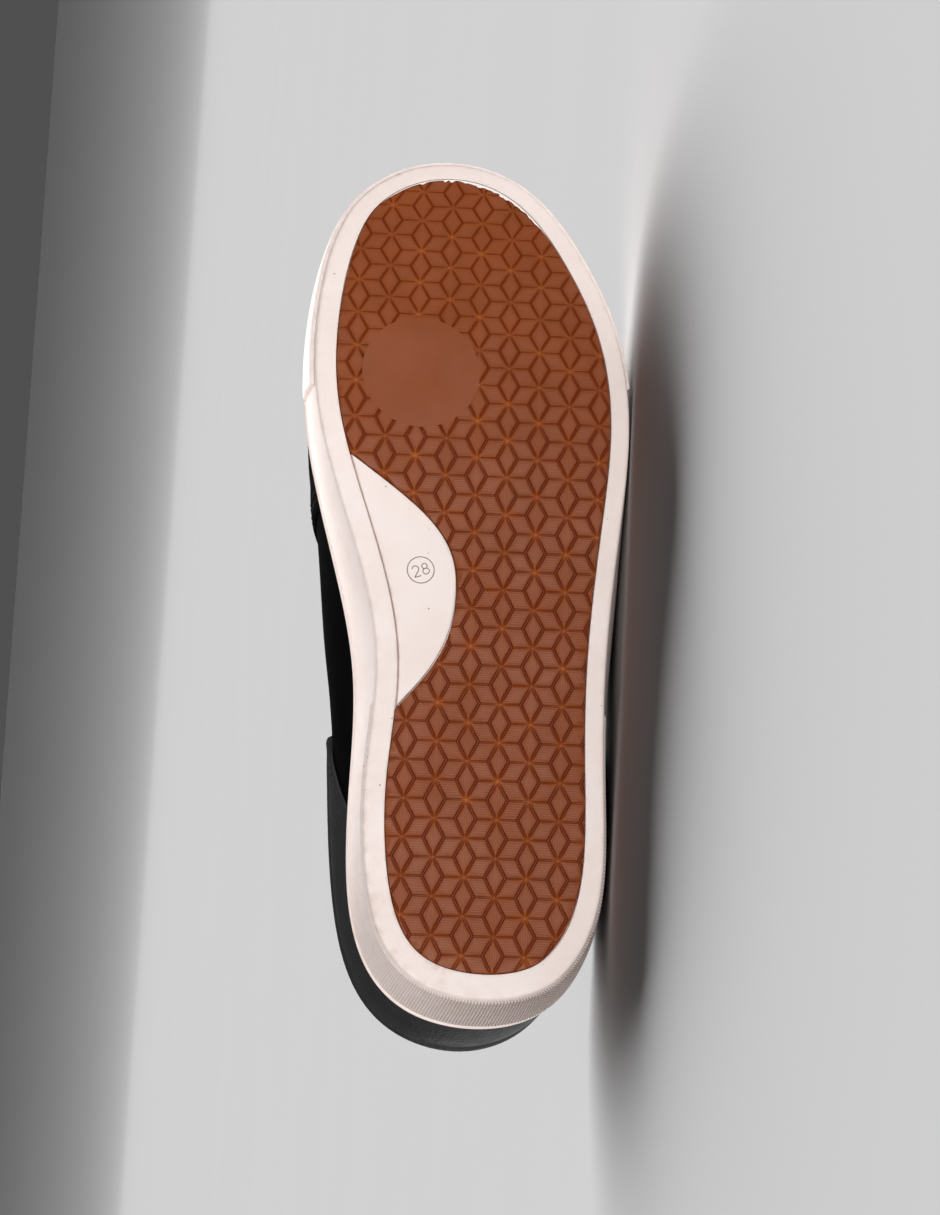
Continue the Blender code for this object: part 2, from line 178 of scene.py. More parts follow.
# A groove's width and depth at its star, as shares, and how far from the star they grow to full
STAR_NARROW = 0.74
STAR_TAPER = (0.6, 3.4)
STAR_SHALLOW = 0.40
STAR_CLEAR = (0.1, 1.3)
# Radius of the painted orange glow at a star, and the distances from a groove where dust starts and
# is full
STAR_RADIUS = 1.25
FACE_SPAN = (0.5, 2.0)
# How much finer the grooves are at the toe, as a share, and where along the shoe that comes in
TOE_FINE = 0.20
TOE_FINE_SPAN = (150.0, 260.0)
# The plain disc at the ball, and its rings as shares of the radius
DISC = np.array([220.9, -27.0])
DISC_RADIUS = 20.6
DISC_RINGS = (1.0, 0.985, 0.8, 0.55, 0.3)
# Orange smears at the heel end of the pad: along, across, radius and strength
PAD_SMEARS = ((14.4, 16.8, 3.2, 1.0), (20.4, -17.3, 2.4, 0.6), (14.0, -9.0, 2.0, 0.4))
# Rounding of the pad's edge, and how near to the outline a point is moved onto it
PAD_EDGE = 0.35
EDGE_SNAP = 0.06
PAD_DEPTH = RECESS_DEPTH - GAP

# Size mark in the waist: its place, ring, turn, line and digits
MARK_ALONG = 149.0
MARK_ACROSS = -25.0
MARK_RADIUS = 4.65
MARK_TURN = math.radians(20.0)
MARK_LINE = 0.19
DIGIT_HEIGHT = 3.9

# Camera: its lens as pixels over the picture's height, the slants of its axis, its roll, where the
# axis meets the sole and from how far, and the slopes by which the view then turns to the shoe
PICTURE_HEIGHT = 1215.0
LOOK_TO_TOE = math.radians(14.0)
LOOK_TO_FLOOR = math.radians(3.5)
ROLL = math.radians(-2.3)
AXIS_MEETS_SOLE = (132.3, -65.7, 0.0)
DISTANCE = 1626.0
TURN_TO_SHOE = 142.5 / 4000.0
LIFT_TO_SHOE = 2.5 / 4000.0
LENS_PIXELS = 4750.0
SENSOR = 36.0
CLIP_END = 50.0


def angle_of(along):
    """The angle of a place on the outer side: the arc cosine of its share of the sole's length."""
    return np.arccos(np.clip(2 * np.asarray(along) / SOLE_LENGTH - 1, -1, 1))


def spline(knots, values, period):
    """A smooth curve through the values, closed over the period: a cubic on each stretch."""
    knots = np.asarray(knots, float)
    values = np.asarray(values, float)
    count = len(knots)
    step = np.diff(np.append(knots, knots[0] + period))
    change = (np.roll(values, -1) - values) / step
    before = np.roll(step, 1)
    system = np.zeros((count, count))
    index = np.arange(count)
    system[index, index] = 2 * (before + step)
    system[index, index - 1] += before
    system[index, (index + 1) % count] += step
    bend = np.linalg.solve(system, 6 * (change - np.roll(change, 1)))

    def at(place):
        place = np.mod(np.asarray(place, float) - knots[0], period) + knots[0]
        start = np.clip(np.searchsorted(knots, place, side="right") - 1, 0, count - 1)
        end = (start + 1) % count
        far = place - knots[start]
        slope = change[start] - step[start] * (2 * bend[start] + bend[end]) / 6
        cubic = (bend[end] - bend[start]) / (6 * step[start])
        return values[start] + far * (slope + far * (bend[start] / 2 + far * cubic))

    return at


def round_shoe(table, inner, outer):
    """A closed curve over the angle, from one column for the inner side and one for the outer."""
    rows = sorted(table, reverse=True)
    angles = [float(angle_of(along)) for along in rows]
    values = [table[along][outer] for along in rows]
    for along in reversed(rows[1:-1]):
        angles.append(FULL - float(angle_of(along)))
        values.append(table[along][inner])
    return spline(angles, values, FULL)


SOLE_ACROSS = round_shoe(SOLE_TABLE, 0, 1)
SOLE_FLARE = round_shoe(SOLE_TABLE, 2, 3)
SOLE_HEIGHT = round_shoe(SOLE_TABLE, 4, 4)
COLLAR_ALONG = round_shoe(UPPER_TABLE, 0, 0)
COLLAR_ACROSS = round_shoe(UPPER_TABLE, 1, 2)
COLLAR_HEIGHT = round_shoe(UPPER_TABLE, 3, 3)
RIB_RISE = round_shoe(UPPER_TABLE, 4, 4)
RIB_SWELL = round_shoe(UPPER_TABLE, 5, 6)
RIB_REACH = round_shoe(UPPER_TABLE, 7, 7)
RIB_DROP = round_shoe(UPPER_TABLE, 8, 8)
TRIM = spline(*np.array(OUTLINE_TRIM).T * np.array([[math.pi / 180], [1.0]]), FULL)


def spring(along):
    """Height of the sole's underside: flat from the heel to the ball, then an arc up to the toe."""
    far = np.maximum(np.asarray(along) - SPRING_START, 0)
    return SPRING_RADIUS - np.sqrt(SPRING_RADIUS**2 - far**2)


def cup_floor(along):
    """Height of the cup's floor above the underside: a smooth step from heel to ball."""
    share = np.clip(np.asarray(along) / BALL_ALONG, 0, 1)
    return FLOOR_AT_HEEL + (FLOOR_AT_BALL - FLOOR_AT_HEEL) * share * share * (3 - 2 * share)


def sole_edge(angle):
    """Plan of the sole's outline: cosine of the angle along, a spline across; with its normals.

    The outline is moved along its normals by the trim.
    """
    angle = np.asarray(angle, float)
    half = SOLE_LENGTH / 2
    point = np.stack([half + half * np.cos(angle), SOLE_ACROSS(angle)], -1)
    climb = (SOLE_ACROSS(angle + NUDGE) - SOLE_ACROSS(angle - NUDGE)) / (2 * NUDGE)
    outward = np.stack([climb, half * np.sin(angle)], -1)
    outward /= np.linalg.norm(outward, axis=-1, keepdims=True)
    return point + outward * TRIM(angle)[..., None], outward


def lift(plan, height):
    """Points over a plan, at a height above the sprung underside."""
    up = spring(plan[..., 0]) + height
    return np.concatenate([plan, up[..., None]], -1)


def rim_inset(angle, extra=0.0):
    """Plan of the line inside the rim, which is wider at the heel and slimmer on the outer side."""
    point, outward = sole_edge(angle)
    at_heel = np.maximum(-np.cos(angle), 0) ** HEEL_SHARPNESS
    slim = RIM_SLIM * ease(np.cos(angle - RIM_SLIM_MIDDLE), *RIM_SLIM_SPAN)
    width = RIM_WIDTH + RIM_EXTRA_AT_HEEL * at_heel - slim + extra
    return point - outward * width[..., None]


def wall(angle, share):
    """The outside of the cup's wall: a straight lean and a small belly over the share of height."""
    point, outward = sole_edge(angle)
    lean = SOLE_FLARE(angle) * share + WALL_BELLY * 4 * share * (1 - share)
    plan = point + outward * lean[..., None]
    up = spring(point[..., 0]) + SOLE_HEIGHT(angle) * share
    return np.concatenate([plan, up[..., None]], -1)


def cup_inside(angle, share, inset=0.0):
    """The inside of the cup's wall, from the cup floor (share 0) to the top edge (share 1)."""
    point, outward = sole_edge(angle)
    low = cup_floor(point[..., 0]) / SOLE_HEIGHT(angle)
    part = low + (1 - low) * share
    plan = point + outward * (SOLE_FLARE(angle) * part - CUP_WALL - inset)[..., None]
    up = spring(point[..., 0]) + SOLE_HEIGHT(angle) * part
    return np.concatenate([plan, up[..., None]], -1)


def rib_points(angle):
    """The four control points of the rib at an angle, from the cup's edge to the collar."""
    foot = cup_inside(angle, 1.0, UPPER_CLEAR)
    _, outward = sole_edge(angle)
    shoulder = foot.copy()
    shoulder[..., :2] += outward * RIB_SWELL(angle)[..., None]
    shoulder[..., 2] += RIB_RISE(angle)
    collar = np.stack([COLLAR_ALONG(angle), COLLAR_ACROSS(angle), COLLAR_HEIGHT(angle)], -1)
    under = collar.copy()
    under[..., :2] += (foot - collar)[..., :2] * RIB_REACH(angle)[..., None]
    under[..., 2] -= RIB_DROP(angle)
    return foot, shoulder, under, collar


def upper(angle, share):
    """The outside of the upper: a cubic Bezier rib from the cup's edge (0) to the collar (1)."""
    foot, shoulder, under, collar = rib_points(angle)
    share = np.asarray(share, float)[..., None]
    rest = 1 - share
    near = foot * rest**3 + shoulder * 3 * rest**2 * share
    return near + under * 3 * rest * share**2 + collar * share**3


def outward_of(surface, first, second):
    """Unit normals of a surface of two values, from the cross product of its small differences."""
    along_first = surface(first + NUDGE, second) - surface(first - NUDGE, second)
    along_second = surface(first, second + NUDGE) - surface(first, second - NUDGE)
    outward = np.cross(along_first, along_second)
    return outward / np.linalg.norm(outward, axis=-1, keepdims=True)


def off_surface(surface, first, second, distance):
    """Points of a surface moved along its outward direction by a distance."""
    distance = np.asarray(distance, float)[..., None]
    return surface(first, second) + outward_of(surface, first, second) * distance


def arch_line(along):
    """Across position of the curve between the tread pad and the arch insert, a spline."""
    rows = sorted(ARCH_TABLE)
    return spline(rows, [ARCH_TABLE[row] for row in rows], 3 * SOLE_LENGTH)(along)


def ease(value, low, high):
    """A smooth step from 0 at low to 1 at high."""
    share = np.clip((np.asarray(value, float) - low) / (high - low), 0, 1)
    return share * share * (3 - 2 * share)


# Creases in the leather, each a trough with a low ridge before it: place along at the middle of
# the vamp, how far its ends sweep back, middle across, half length across, width and depth
FLEX_CREASES = (
    (194.0, 12.0, -8.0, 40.0, 3.2, 0.55),
    (206.5, 15.0, -10.0, 46.0, 3.6, 0.85),
    (219.0, 13.0, -6.0, 38.0, 3.0, 0.60),
    (229.0, 10.0, -16.0, 24.0, 2.6, 0.35),
)
# Heights between which the flex creases come in
FLEX_UP = (34.0, 44.0)
# Puckers below the collar on each side: along, up, lean, half length, width and depth
ANKLE_PUCKERS = (
    (112.0, 52.0, 0.55, 13.0, 2.8, 0.45),
    (101.0, 49.0, 0.35, 11.0, 2.4, 0.35),
    (126.0, 56.0, 0.75, 14.0, 3.0, 0.40),
)
# Distances from the shoe's middle line between which the puckers come in
PUCKER_SIDE = (18.0, 26.0)
# The ridge's share of a crease's depth, and how many widths before the trough it lies
FLEX_RIDGE = 0.45
PUCKER_RIDGE = 0.35
RIDGE_OFF = 1.7


def trough(off, ridge):
    """Section of a crease over widths from its middle: a bell down, and a low one up before it."""
    return ridge * np.exp(-((off + RIDGE_OFF) ** 2)) - np.exp(-(off**2))


def creases(points):
    """Depth of the leather's creases: troughs along bowed or leaning lines, faded at their ends."""
    along, across, up = points[..., 0], points[..., 1], points[..., 2]
    total = np.zeros(along.shape)
    for place, sweep, middle, reach, width, depth in FLEX_CREASES:
        side = (across - middle) / reach
        off = (along - place + sweep * side**2) / width
        window = np.exp(-(side**4)) * ease(up, *FLEX_UP)
        total += window * depth * trough(off, FLEX_RIDGE)
    for place, height, lean, reach, width, depth in ANKLE_PUCKERS:
        run = (along - place) + (up - height) * lean
        off = ((up - height) - (along - place) * lean) / width
        window = np.exp(-((run / reach) ** 4)) * ease(np.abs(across), *PUCKER_SIDE)
        total += window * depth * trough(off, PUCKER_RIDGE)
    return total


# Fullness of the leather over the inner waist, and a tuck at the outer back of the heel, which the
# shoe lies on: angle and half width in radians, and height
FULLNESS = ((4.55, 0.26, 4.0), (2.80, 0.26, -3.6))


def skin(angle, share):
    """The outside of the upper: creased, and filled out or tucked in by bells round the shoe."""
    over = np.zeros(np.broadcast(angle, share).shape)
    for middle, wide, full in FULLNESS:
        over = over + full * np.exp(-(((np.mod(angle, FULL) - middle) / wide) ** 2))
    over = over * np.sin(math.pi * np.clip(share, 0, 1))
    return off_surface(upper, angle, share, over + creases(upper(angle, share)))


# The flats' places in the shoe: the heel's along, and the forefoot's from there
HEEL_FLAT = 50.0
FLATS_ALONG = 110.0
FLATS_ACROSS = 8.0


def shoe_frame():
    """Origin and axes of the shoe in the part's frame, from the two flats of its sole."""
    flats = {mount["name"]: mount for mount in frame["record"]["mounts"]}
    heel = np.array(flats["sole_heel_flat"]["pos_m"])
    ball = np.array(flats["sole_forefoot_flat"]["pos_m"])
    up = -np.array(flats["sole_heel_flat"]["axis"])
    up /= np.linalg.norm(up)
    line = ball - heel
    line /= np.linalg.norm(line)
    turn = math.atan2(FLATS_ACROSS, FLATS_ALONG)
    along = math.cos(turn) * line - math.sin(turn) * np.cross(up, line)
    return heel - HEEL_FLAT * MM * along, np.stack([along, np.cross(up, along), up])


ORIGIN, AXES = shoe_frame()


def world(points):
    """Shoe millimetres to the part's frame in metres."""
    return ORIGIN + (np.asarray(points, float) * MM) @ AXES


def grid_faces(rows, columns, close_rows=False, close_columns=False):
    """Corner numbers of the quads of a grid of points, joined end to end where closed."""
    row, column = np.meshgrid(
        np.arange(rows if close_rows else rows - 1),
        np.arange(columns if close_columns else columns - 1),
        indexing="ij",
    )
    row_after = (row + 1) % rows
    column_after = (column + 1) % columns
    corners = (
        row * columns + column,
        row * columns + column_after,
        row_after * columns + column_after,
        row_after * columns + column,
    )
    return np.stack(corners, -1).reshape(-1, 4)


# Points are one when they agree in steps of this many to the millimetre
WELD_STEPS = 1e4


def weld(points):
    """The number of the first point at each place, and for each point the number of its place."""
    keys = np.round(points * WELD_STEPS).astype(np.int64)
    _, first, back = np.unique(keys, axis=0, return_index=True, return_inverse=True)
    return first, back.reshape(-1)


def split_thin(faces, marks):
    """Faces with no shared corner as they are, quads with one as triangles, the rest left out."""
    same = faces == np.roll(faces, -1, 1)
    shared = same.sum(1)
    whole = shared == 0
    parts = [(faces[whole], marks[whole])]
    if faces.shape[1] == 4:
        whole &= (faces[:, 0] != faces[:, 2]) & (faces[:, 1] != faces[:, 3])
        parts = [(faces[whole], marks[whole])]
        thin = faces[shared == 1]
        order = (np.argmax(same[shared == 1], 1)[:, None] + np.array([1, 2, 3])) % 4
        parts.append((np.take_along_axis(thin, order, 1), marks[shared == 1]))
    return parts


def signed_volume(points, parts):
    """Six times the volume that the faces enclose, as fans of triangles from each first corner."""
    total = 0.0
    for faces, _ in parts:
        for corner in range(1, faces.shape[1] - 1):
            a, b, c = points[faces[:, 0]], points[faces[:, corner]], points[faces[:, corner + 1]]
            total += np.einsum("ij,ij->", a, np.cross(b, c))
    return total


def new_object(name, data):
    """An object in the scene, at the origin."""
    made = bpy.data.objects.new(name, data)
    bpy.context.scene.collection.objects.link(made)
    return made


# Edges are smooth up to this angle between their faces, in degrees
SMOOTH_BELOW = 40.0


def add_piece(
    name, points, faces, finishes, stands_for=(), tags=None, marks=None, sharp=SMOOTH_BELOW
):
    """A closed mesh from points in shoe millimetres and arrays of faces, turned to face outwards.

    Points at one place are merged first. Tags are numbers at the points for the finish to read,
    and marks pick one of the finishes for each face.
    """
    points = np.asarray(points, float).reshape(-1, 3)
    first, back = weld(points)
    points = points[first]
    parts = []
    for number, group in enumerate(faces):
        mark = np.zeros(len(group), np.int32) if marks is None else marks[number]
        parts += split_thin(back[group], mark)
    parts = [part for part in parts if len(part[0])]
    if signed_volume(points, parts) * np.linalg.det(AXES) < 0:
        parts = [(corners[:, ::-1], mark) for corners, mark in parts]
    corners = np.concatenate([part[0].ravel() for part in parts])
    sizes = np.concatenate([np.full(len(part[0]), part[0].shape[1]) for part in parts])
    starts = np.concatenate([[0], np.cumsum(sizes)[:-1]])
    mesh = bpy.data.meshes.new(name)
    mesh.vertices.add(len(points))
    mesh.vertices.foreach_set("co", world(points).astype(np.float32).ravel())
    mesh.loops.add(len(corners))
    mesh.loops.foreach_set("vertex_index", corners.astype(np.int32))
    mesh.polygons.add(len(starts))
    mesh.polygons.foreach_set("loop_start", starts.astype(np.int32))
    mesh.polygons.foreach_set("use_smooth", np.ones(len(starts), bool))
    mesh.polygons.foreach_set("material_index", np.concatenate([part[1] for part in parts]))
    mesh.update(calc_edges=True)
    for tag, values in (tags or {}).items():
        layer = mesh.attributes.new(tag, "FLOAT", "POINT")
        layer.data.foreach_set("value", np.asarray(values, np.float32).ravel()[first])
    mesh.validate()
    mesh.set_sharp_from_angle(angle=math.radians(sharp))
    for finish in finishes:
        mesh.materials.append(finish)
    piece = new_object(name, mesh)
    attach(piece, "root")
    if stands_for:
        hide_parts(*stands_for)
    return piece


def two_sided(outer, inner, close_columns=False):
    """Points and faces of a slab between two grids that meet along their open borders."""
    rows, columns = outer.shape[:2]
    quads = grid_faces(rows, columns, close_columns=close_columns)
    points = np.concatenate([outer.reshape(-1, 3), inner.reshape(-1, 3)])
    return points, np.concatenate([quads, quads[:, ::-1] + rows * columns])


def across_fill(start, count):
    """Quads that fill a ring, each from a stretch of its outer half to the inner half facing it."""
    place = np.arange(count // 2)
    corners = (place, place + 1, (count - place - 1) % count, (count - place) % count)
    return start + np.stack(corners, -1)


def end_caps(rows, size):
    """The two end faces of a tube of closed rows."""
    ring = np.arange(size)[None]
    return [ring[:, ::-1], (rows - 1) * size + ring]


def strip_slab(station, across, top, bottom):
    """A slab of strips across: points at a height over each strip, and its two ends below them."""
    plan = np.stack([np.broadcast_to(station[:, None], across.shape), across], -1)
    rear = lift(plan[:, [-1, 0]], np.broadcast_to(bottom, (len(station), 2)))
    points = np.concatenate([lift(plan, top), rear], 1)
    rows, size = points.shape[:2]
    quads = grid_faces(rows, size, close_columns=True)
    return points, [quads, *end_caps(rows, size)]


def joined(parts):
    """Points and faces of several meshes as those of one."""
    points, faces, start = [], [], 0
    for made, groups in parts:
        points.append(made)
        faces += [group + start for group in groups]
        start += len(made)
    return np.concatenate(points), faces


def spots(points, table):
    """Strength of soft round spots at points: the highest of some bells round their places."""
    total = np.zeros(points.shape[:-1])
    for along, across, radius, strength in table:
        far = np.hypot(points[..., 0] - along, points[..., 1] - across)
        total = np.maximum(total, strength * np.exp(-((far / radius) ** 2)))
    return total


def node(tree, kind, values=None, **settings):
    """A shader node with settings and unlinked input values."""
    made = tree.nodes.new("ShaderNode" + kind)
    for key, value in settings.items():
        setattr(made, key, value)
    for key, value in (values or {}).items():
        made.inputs[key].default_value = value
    return made


def wire(tree, source, target):
    """Links an output socket to an input socket."""
    tree.links.new(source, target)


# The range that smooth noise seldom leaves
NOISE_MIDDLE = (0.3, 0.7)


class Finish:
    """A material under construction: its tree, shader and object coordinates."""

    def __init__(self, name, **sockets):
        self.material = bpy.data.materials.new(name)
        self.material.use_nodes = True
        self.tree = self.material.node_tree
        self.shader = self.tree.nodes["Principled BSDF"]
        for key, value in sockets.items():
            self.shader.inputs[key.replace("_", " ")].default_value = value
        self.place = node(self.tree, "TexCoord").outputs["Object"]

    def noise(self, scale, detail=2.0, rough=0.5):
        """Smooth noise over the piece, its scale in waves per metre."""
        made = node(self.tree, "TexNoise", {"Scale": scale, "Detail": detail, "Roughness": rough})
        wire(self.tree, self.place, made.inputs["Vector"])
        return made.outputs["Fac"]

    def drift(self, scale, detail, to_low=0.0, to_high=1.0):
        """A slow change over the piece: the middle of smooth noise stretched to a range."""
        return self.span(self.noise(scale, detail), *NOISE_MIDDLE, to_low, to_high)

    def cells(self, scale, feature="F1", output="Distance"):
        """Voronoi cells over the piece, their scale in cells per metre."""
        made = node(self.tree, "TexVoronoi", {"Scale": scale}, feature=feature)
        wire(self.tree, self.place, made.inputs["Vector"])
        return made.outputs[output]

    def ridges(self, direction, scale, distortion=0.0):
        """Even ridges across one axis of the piece."""
        values = {"Scale": scale, "Distortion": distortion}
        made = node(self.tree, "TexWave", values, bands_direction=direction)
        wire(self.tree, self.place, made.inputs["Vector"])
        return made.outputs["Fac"]

    def tag(self, name):
        """A number stored at the piece's points."""
        return node(self.tree, "Attribute", attribute_name=name).outputs["Fac"]

    def span(self, source, low, high, to_low=0.0, to_high=1.0):
        """A value moved from one range to another, held at the ends."""
        values = {"From Min": low, "From Max": high, "To Min": to_low, "To Max": to_high}
        made = node(self.tree, "MapRange", values)
        wire(self.tree, source, made.inputs["Value"])
        return made.outputs["Result"]

    def sum(self, first, second, operation="ADD"):
        """Two values, or a value and a number, put through one operation."""
        made = node(self.tree, "Math", operation=operation)
        wire(self.tree, first, made.inputs[0])
        if isinstance(second, (int, float)):
            made.inputs[1].default_value = second
        else:
            wire(self.tree, second, made.inputs[1])
        return made.outputs["Value"]

    def mix(self, share, first, second):
        """Two colours, or sockets of colour, mixed by a share."""
        made = node(self.tree, "Mix", data_type="RGBA")
        wire(self.tree, share, made.inputs["Factor"])
        # Among the node's sockets, inputs 6 and 7 and output 2 are its colours
        for socket, colour in ((made.inputs[6], first), (made.inputs[7], second)):
            if isinstance(colour, tuple):
                socket.default_value = (*colour, 1.0)
            else:
                wire(self.tree, colour, socket)
        return made.outputs[2]

    def colour(self, source):
        """Links the shader's colour."""
        wire(self.tree, source, self.shader.inputs["Base Color"])

    def roughness(self, source):
        """Links the shader's roughness."""
        wire(self.tree, source, self.shader.inputs["Roughness"])

    def bump(self, height, strength, distance):
        """Adds a bump on top of those before it, its distance in metres."""
        made = node(self.tree, "Bump", {"Strength": strength, "Distance": distance})
        wire(self.tree, height, made.inputs["Height"])
        target = self.shader.inputs["Normal"]
        if target.is_linked:
            wire(self.tree, target.links[0].from_socket, made.inputs["Normal"])
        wire(self.tree, made.outputs["Normal"], target)


# A wave texture at scale 1 repeats every tenth of pi
WAVE_UNIT = math.pi / 10
# Pitch of the ribs on the tread's blocks, and the places along the part between which the dust
# on them thins out, in metres
RIB_PITCH = 0.00085
DUST_THINS = (0.02, 0.12)
# White rubber: its two tones, specks, grime and painted shade, stains, painted shade in pits, and a
# painted highlight on the flash
WHITE_TONES = ((0.925, 0.805, 0.760), (0.880, 0.752, 0.700))
SPECK_BROWN = (0.30, 0.22, 0.17)
GRIME_AND_SHADE_BROWN = (0.50, 0.36, 0.27)
STAIN_BROWN = (0.52, 0.31, 0.20)
PIT_SHADE_BROWN = (0.270, 0.205, 0.180)
FLASH_HIGHLIGHT_WHITE = (0.94, 0.91, 0.89)
# Gum rubber: its two tones, dust, the dirt and painted shade of its grooves, and the painted glow
# of its stars, whose colour its smears share
GUM_TONES = ((0.250, 0.053, 0.008), (0.200, 0.042, 0.005))
GUM_DUST = (0.292, 0.095, 0.048)
GROOVE_DIRT_AND_SHADE = (0.158, 0.021, 0.001)
STAR_GLOW_AND_SMEAR_ORANGE = (0.42, 0.103, 0.013)
# The two tones of each other finish
SMOOTH_TONES = ((0.0017, 0.0017, 0.0018), (0.0028, 0.0027, 0.0028))
PEBBLED_TONES = ((0.0185, 0.0184, 0.0187), (0.0250, 0.0247, 0.0250))
LINING_TONES = ((0.020, 0.020, 0.022), (0.050, 0.049, 0.052))
FOOTBED_TONES = ((0.030, 0.030, 0.033), (0.075, 0.074, 0.078))
THREAD_TONES = ((0.012, 0.012, 0.013), (0.028, 0.027, 0.028))
MARK_TONES = ((0.17, 0.135, 0.12), (0.27, 0.215, 0.19))
FLOOR_TONES = ((0.545, 0.543, 0.544), (0.565, 0.563, 0.564))
# Threads per metre of the two cloths
LINING_THREADS = 1900.0
FOOTBED_THREADS = 1300.0


def white_rubber():
    """Warm white rubber: faint mottling, sparse specks, grime and painted shade where the tags say,
    a painted highlight on the flash, a fine skin.
    """
    made = Finish("white_rubber_skin", IOR=1.5)
    mottle = made.span(made.noise(38.0, 4.0), 0.35, 0.68)
    colour = made.mix(mottle, *WHITE_TONES)
    specks = made.span(made.noise(780.0, 1.0), 0.765, 0.82)
    patches = made.span(made.noise(60.0, 2.0), 0.48, 0.64)
    colour = made.mix(made.sum(specks, patches, "MULTIPLY"), colour, SPECK_BROWN)
    patchiness = made.span(made.noise(210.0, 5.0, 0.65), 0.42, 0.72)
    # Grime, with painted shade at the lip, under the bead, at the insert's seams and in the knurl's
    # pits, in patches
    colour = made.mix(made.sum(made.tag("grime_and_shade"), patchiness, "MULTIPLY"), colour, GRIME_AND_SHADE_BROWN)
    smear = made.span(made.noise(330.0, 4.0, 0.6), 0.36, 0.62)
    colour = made.mix(made.sum(made.tag("stain"), smear, "MULTIPLY"), colour, STAIN_BROWN)
    # Painted shade in the knurl's pits and at the nick
    colour = made.mix(made.tag("pit"), colour, PIT_SHADE_BROWN)
    # Painted highlight: the flash is whiter than the rim
    colour = made.mix(made.tag("flash_highlight"), colour, FLASH_HIGHLIGHT_WHITE)
    made.colour(colour)
    made.roughness(made.drift(120.0, 3.0, 0.44, 0.62))
    made.bump(made.noise(2600.0, 2.0), 0.10, 0.0002)
    return made.material


def gum_rubber():
    """Gum rubber: dusty terracotta faces with fine ribs, grooves painted brown for dirt and shade,
    and a painted orange glow at the star centres.

    The ribs run along the shoe on the tall blocks and across it on the others. The dust thins out
    towards the toe.
    """
    made = Finish("gum_rubber_skin", IOR=1.4, Specular_IOR_Level=0.3)
    axes = node(made.tree, "SeparateXYZ")
    wire(made.tree, made.place, axes.inputs["Vector"])
    toeward = made.span(axes.outputs["X"], *DUST_THINS)
    tone = made.span(made.noise(70.0, 4.0), 0.32, 0.70)
    colour = made.mix(tone, *GUM_TONES)
    dust = made.span(made.noise(420.0, 5.0, 0.7), 0.46, 0.75)
    film = made.sum(made.span(made.noise(45.0, 3.0), 0.35, 0.68, 0.45, 0.95), dust, "MAXIMUM")
    film = made.sum(film, made.span(toeward, 0.0, 1.0, 0.90, 0.40), "MULTIPLY")
    film = made.sum(film, made.span(made.tag("face"), 0.0, 1.0, 0.15, 1.0), "MULTIPLY")
    colour = made.mix(film, colour, GUM_DUST)
    # Grooves darkened brown with their depth: dirt and painted shade
    colour = made.mix(made.span(made.tag("groove"), 0.10, 0.80), colour, GROOVE_DIRT_AND_SHADE)
    # Painted orange glow round the stars, uneven from star to star, also on the smears
    glow = made.span(made.noise(55.0, 3.0), 0.42, 0.66, 0.10, 0.90)
    colour = made.mix(made.sum(made.tag("star"), glow, "MULTIPLY"), colour, STAR_GLOW_AND_SMEAR_ORANGE)
    made.colour(colour)
    made.roughness(made.drift(300.0, 4.0, 0.42, 0.60))
    made.bump(made.noise(2200.0, 3.0, 0.6), 0.12, 0.0002)
    lines = node(made.tree, "Mix")
    wire(made.tree, made.tag("tall"), lines.inputs["Factor"])
    wire(made.tree, made.ridges("X", WAVE_UNIT / RIB_PITCH), lines.inputs["A"])
    wire(made.tree, made.ridges("Z", WAVE_UNIT / RIB_PITCH), lines.inputs["B"])
    ribs = made.sum(lines.outputs["Result"], made.tag("block"), "MULTIPLY")
    made.bump(ribs, 0.22, 0.0002)
    return made.material


def smooth_leather():
    """Deep black leather with a fine grain of small cells and a slow change of gloss."""
    made = Finish("smooth_black_leather", IOR=1.33, Specular_IOR_Level=0.15)
    made.colour(made.mix(made.drift(90.0, 4.0), *SMOOTH_TONES))
    made.roughness(made.drift(160.0, 4.0, 0.40, 0.56))
    made.bump(made.cells(1500.0), 0.22, 0.00022)
    made.bump(made.noise(420.0, 4.0), 0.12, 0.0004)
    return made.material


def pebbled_leather():
    """Grained black leather: rounded pebbles about a millimetre across, with a soft grey sheen."""
    made = Finish("pebbled_black_leather", IOR=1.45, Coat_Weight=0.05, Coat_Roughness=0.42)
    made.colour(made.mix(made.drift(120.0, 4.0), *PEBBLED_TONES))
    made.roughness(made.drift(240.0, 4.0, 0.40, 0.54))
    made.bump(made.cells(1050.0, "SMOOTH_F1"), 0.55, 0.0004)
    made.bump(made.noise(3200.0, 2.0), 0.10, 0.0002)
    return made.material


def woven(name, tones, threads, strength):
    """Woven cloth: crossed sets of ridges, in threads per metre, over a speckled ground."""
    made = Finish(name, Roughness=0.9, IOR=1.4)
    speck = made.span(made.noise(1400.0, 3.0), 0.35, 0.65)
    made.colour(made.mix(speck, *tones))
    sets = [made.ridges(direction, WAVE_UNIT * threads, 0.6) for direction in ("X", "Y", "Z")]
    made.bump(made.sum(made.sum(sets[0], sets[1]), sets[2]), strength, 0.0003)
    return made.material


def sewing_thread():
    """Waxed black thread with the faint slant of its twist."""
    made = Finish("black_thread", Roughness=0.55, IOR=1.45)
    made.colour(made.mix(made.noise(900.0), *THREAD_TONES))
    made.bump(made.noise(5200.0, 1.0), 0.25, 0.0002)
    return made.material


def mark_grey():
    """The moulded mark's lines: grey-brown, darker than the white rubber round them."""
    made = Finish("mark_line", Roughness=0.6, IOR=1.5)
    patchiness = made.span(made.noise(700.0, 4.0), 0.35, 0.7)
    made.colour(made.mix(patchiness, *MARK_TONES))
    made.bump(made.noise(2600.0, 2.0), 0.10, 0.0002)
    return made.material


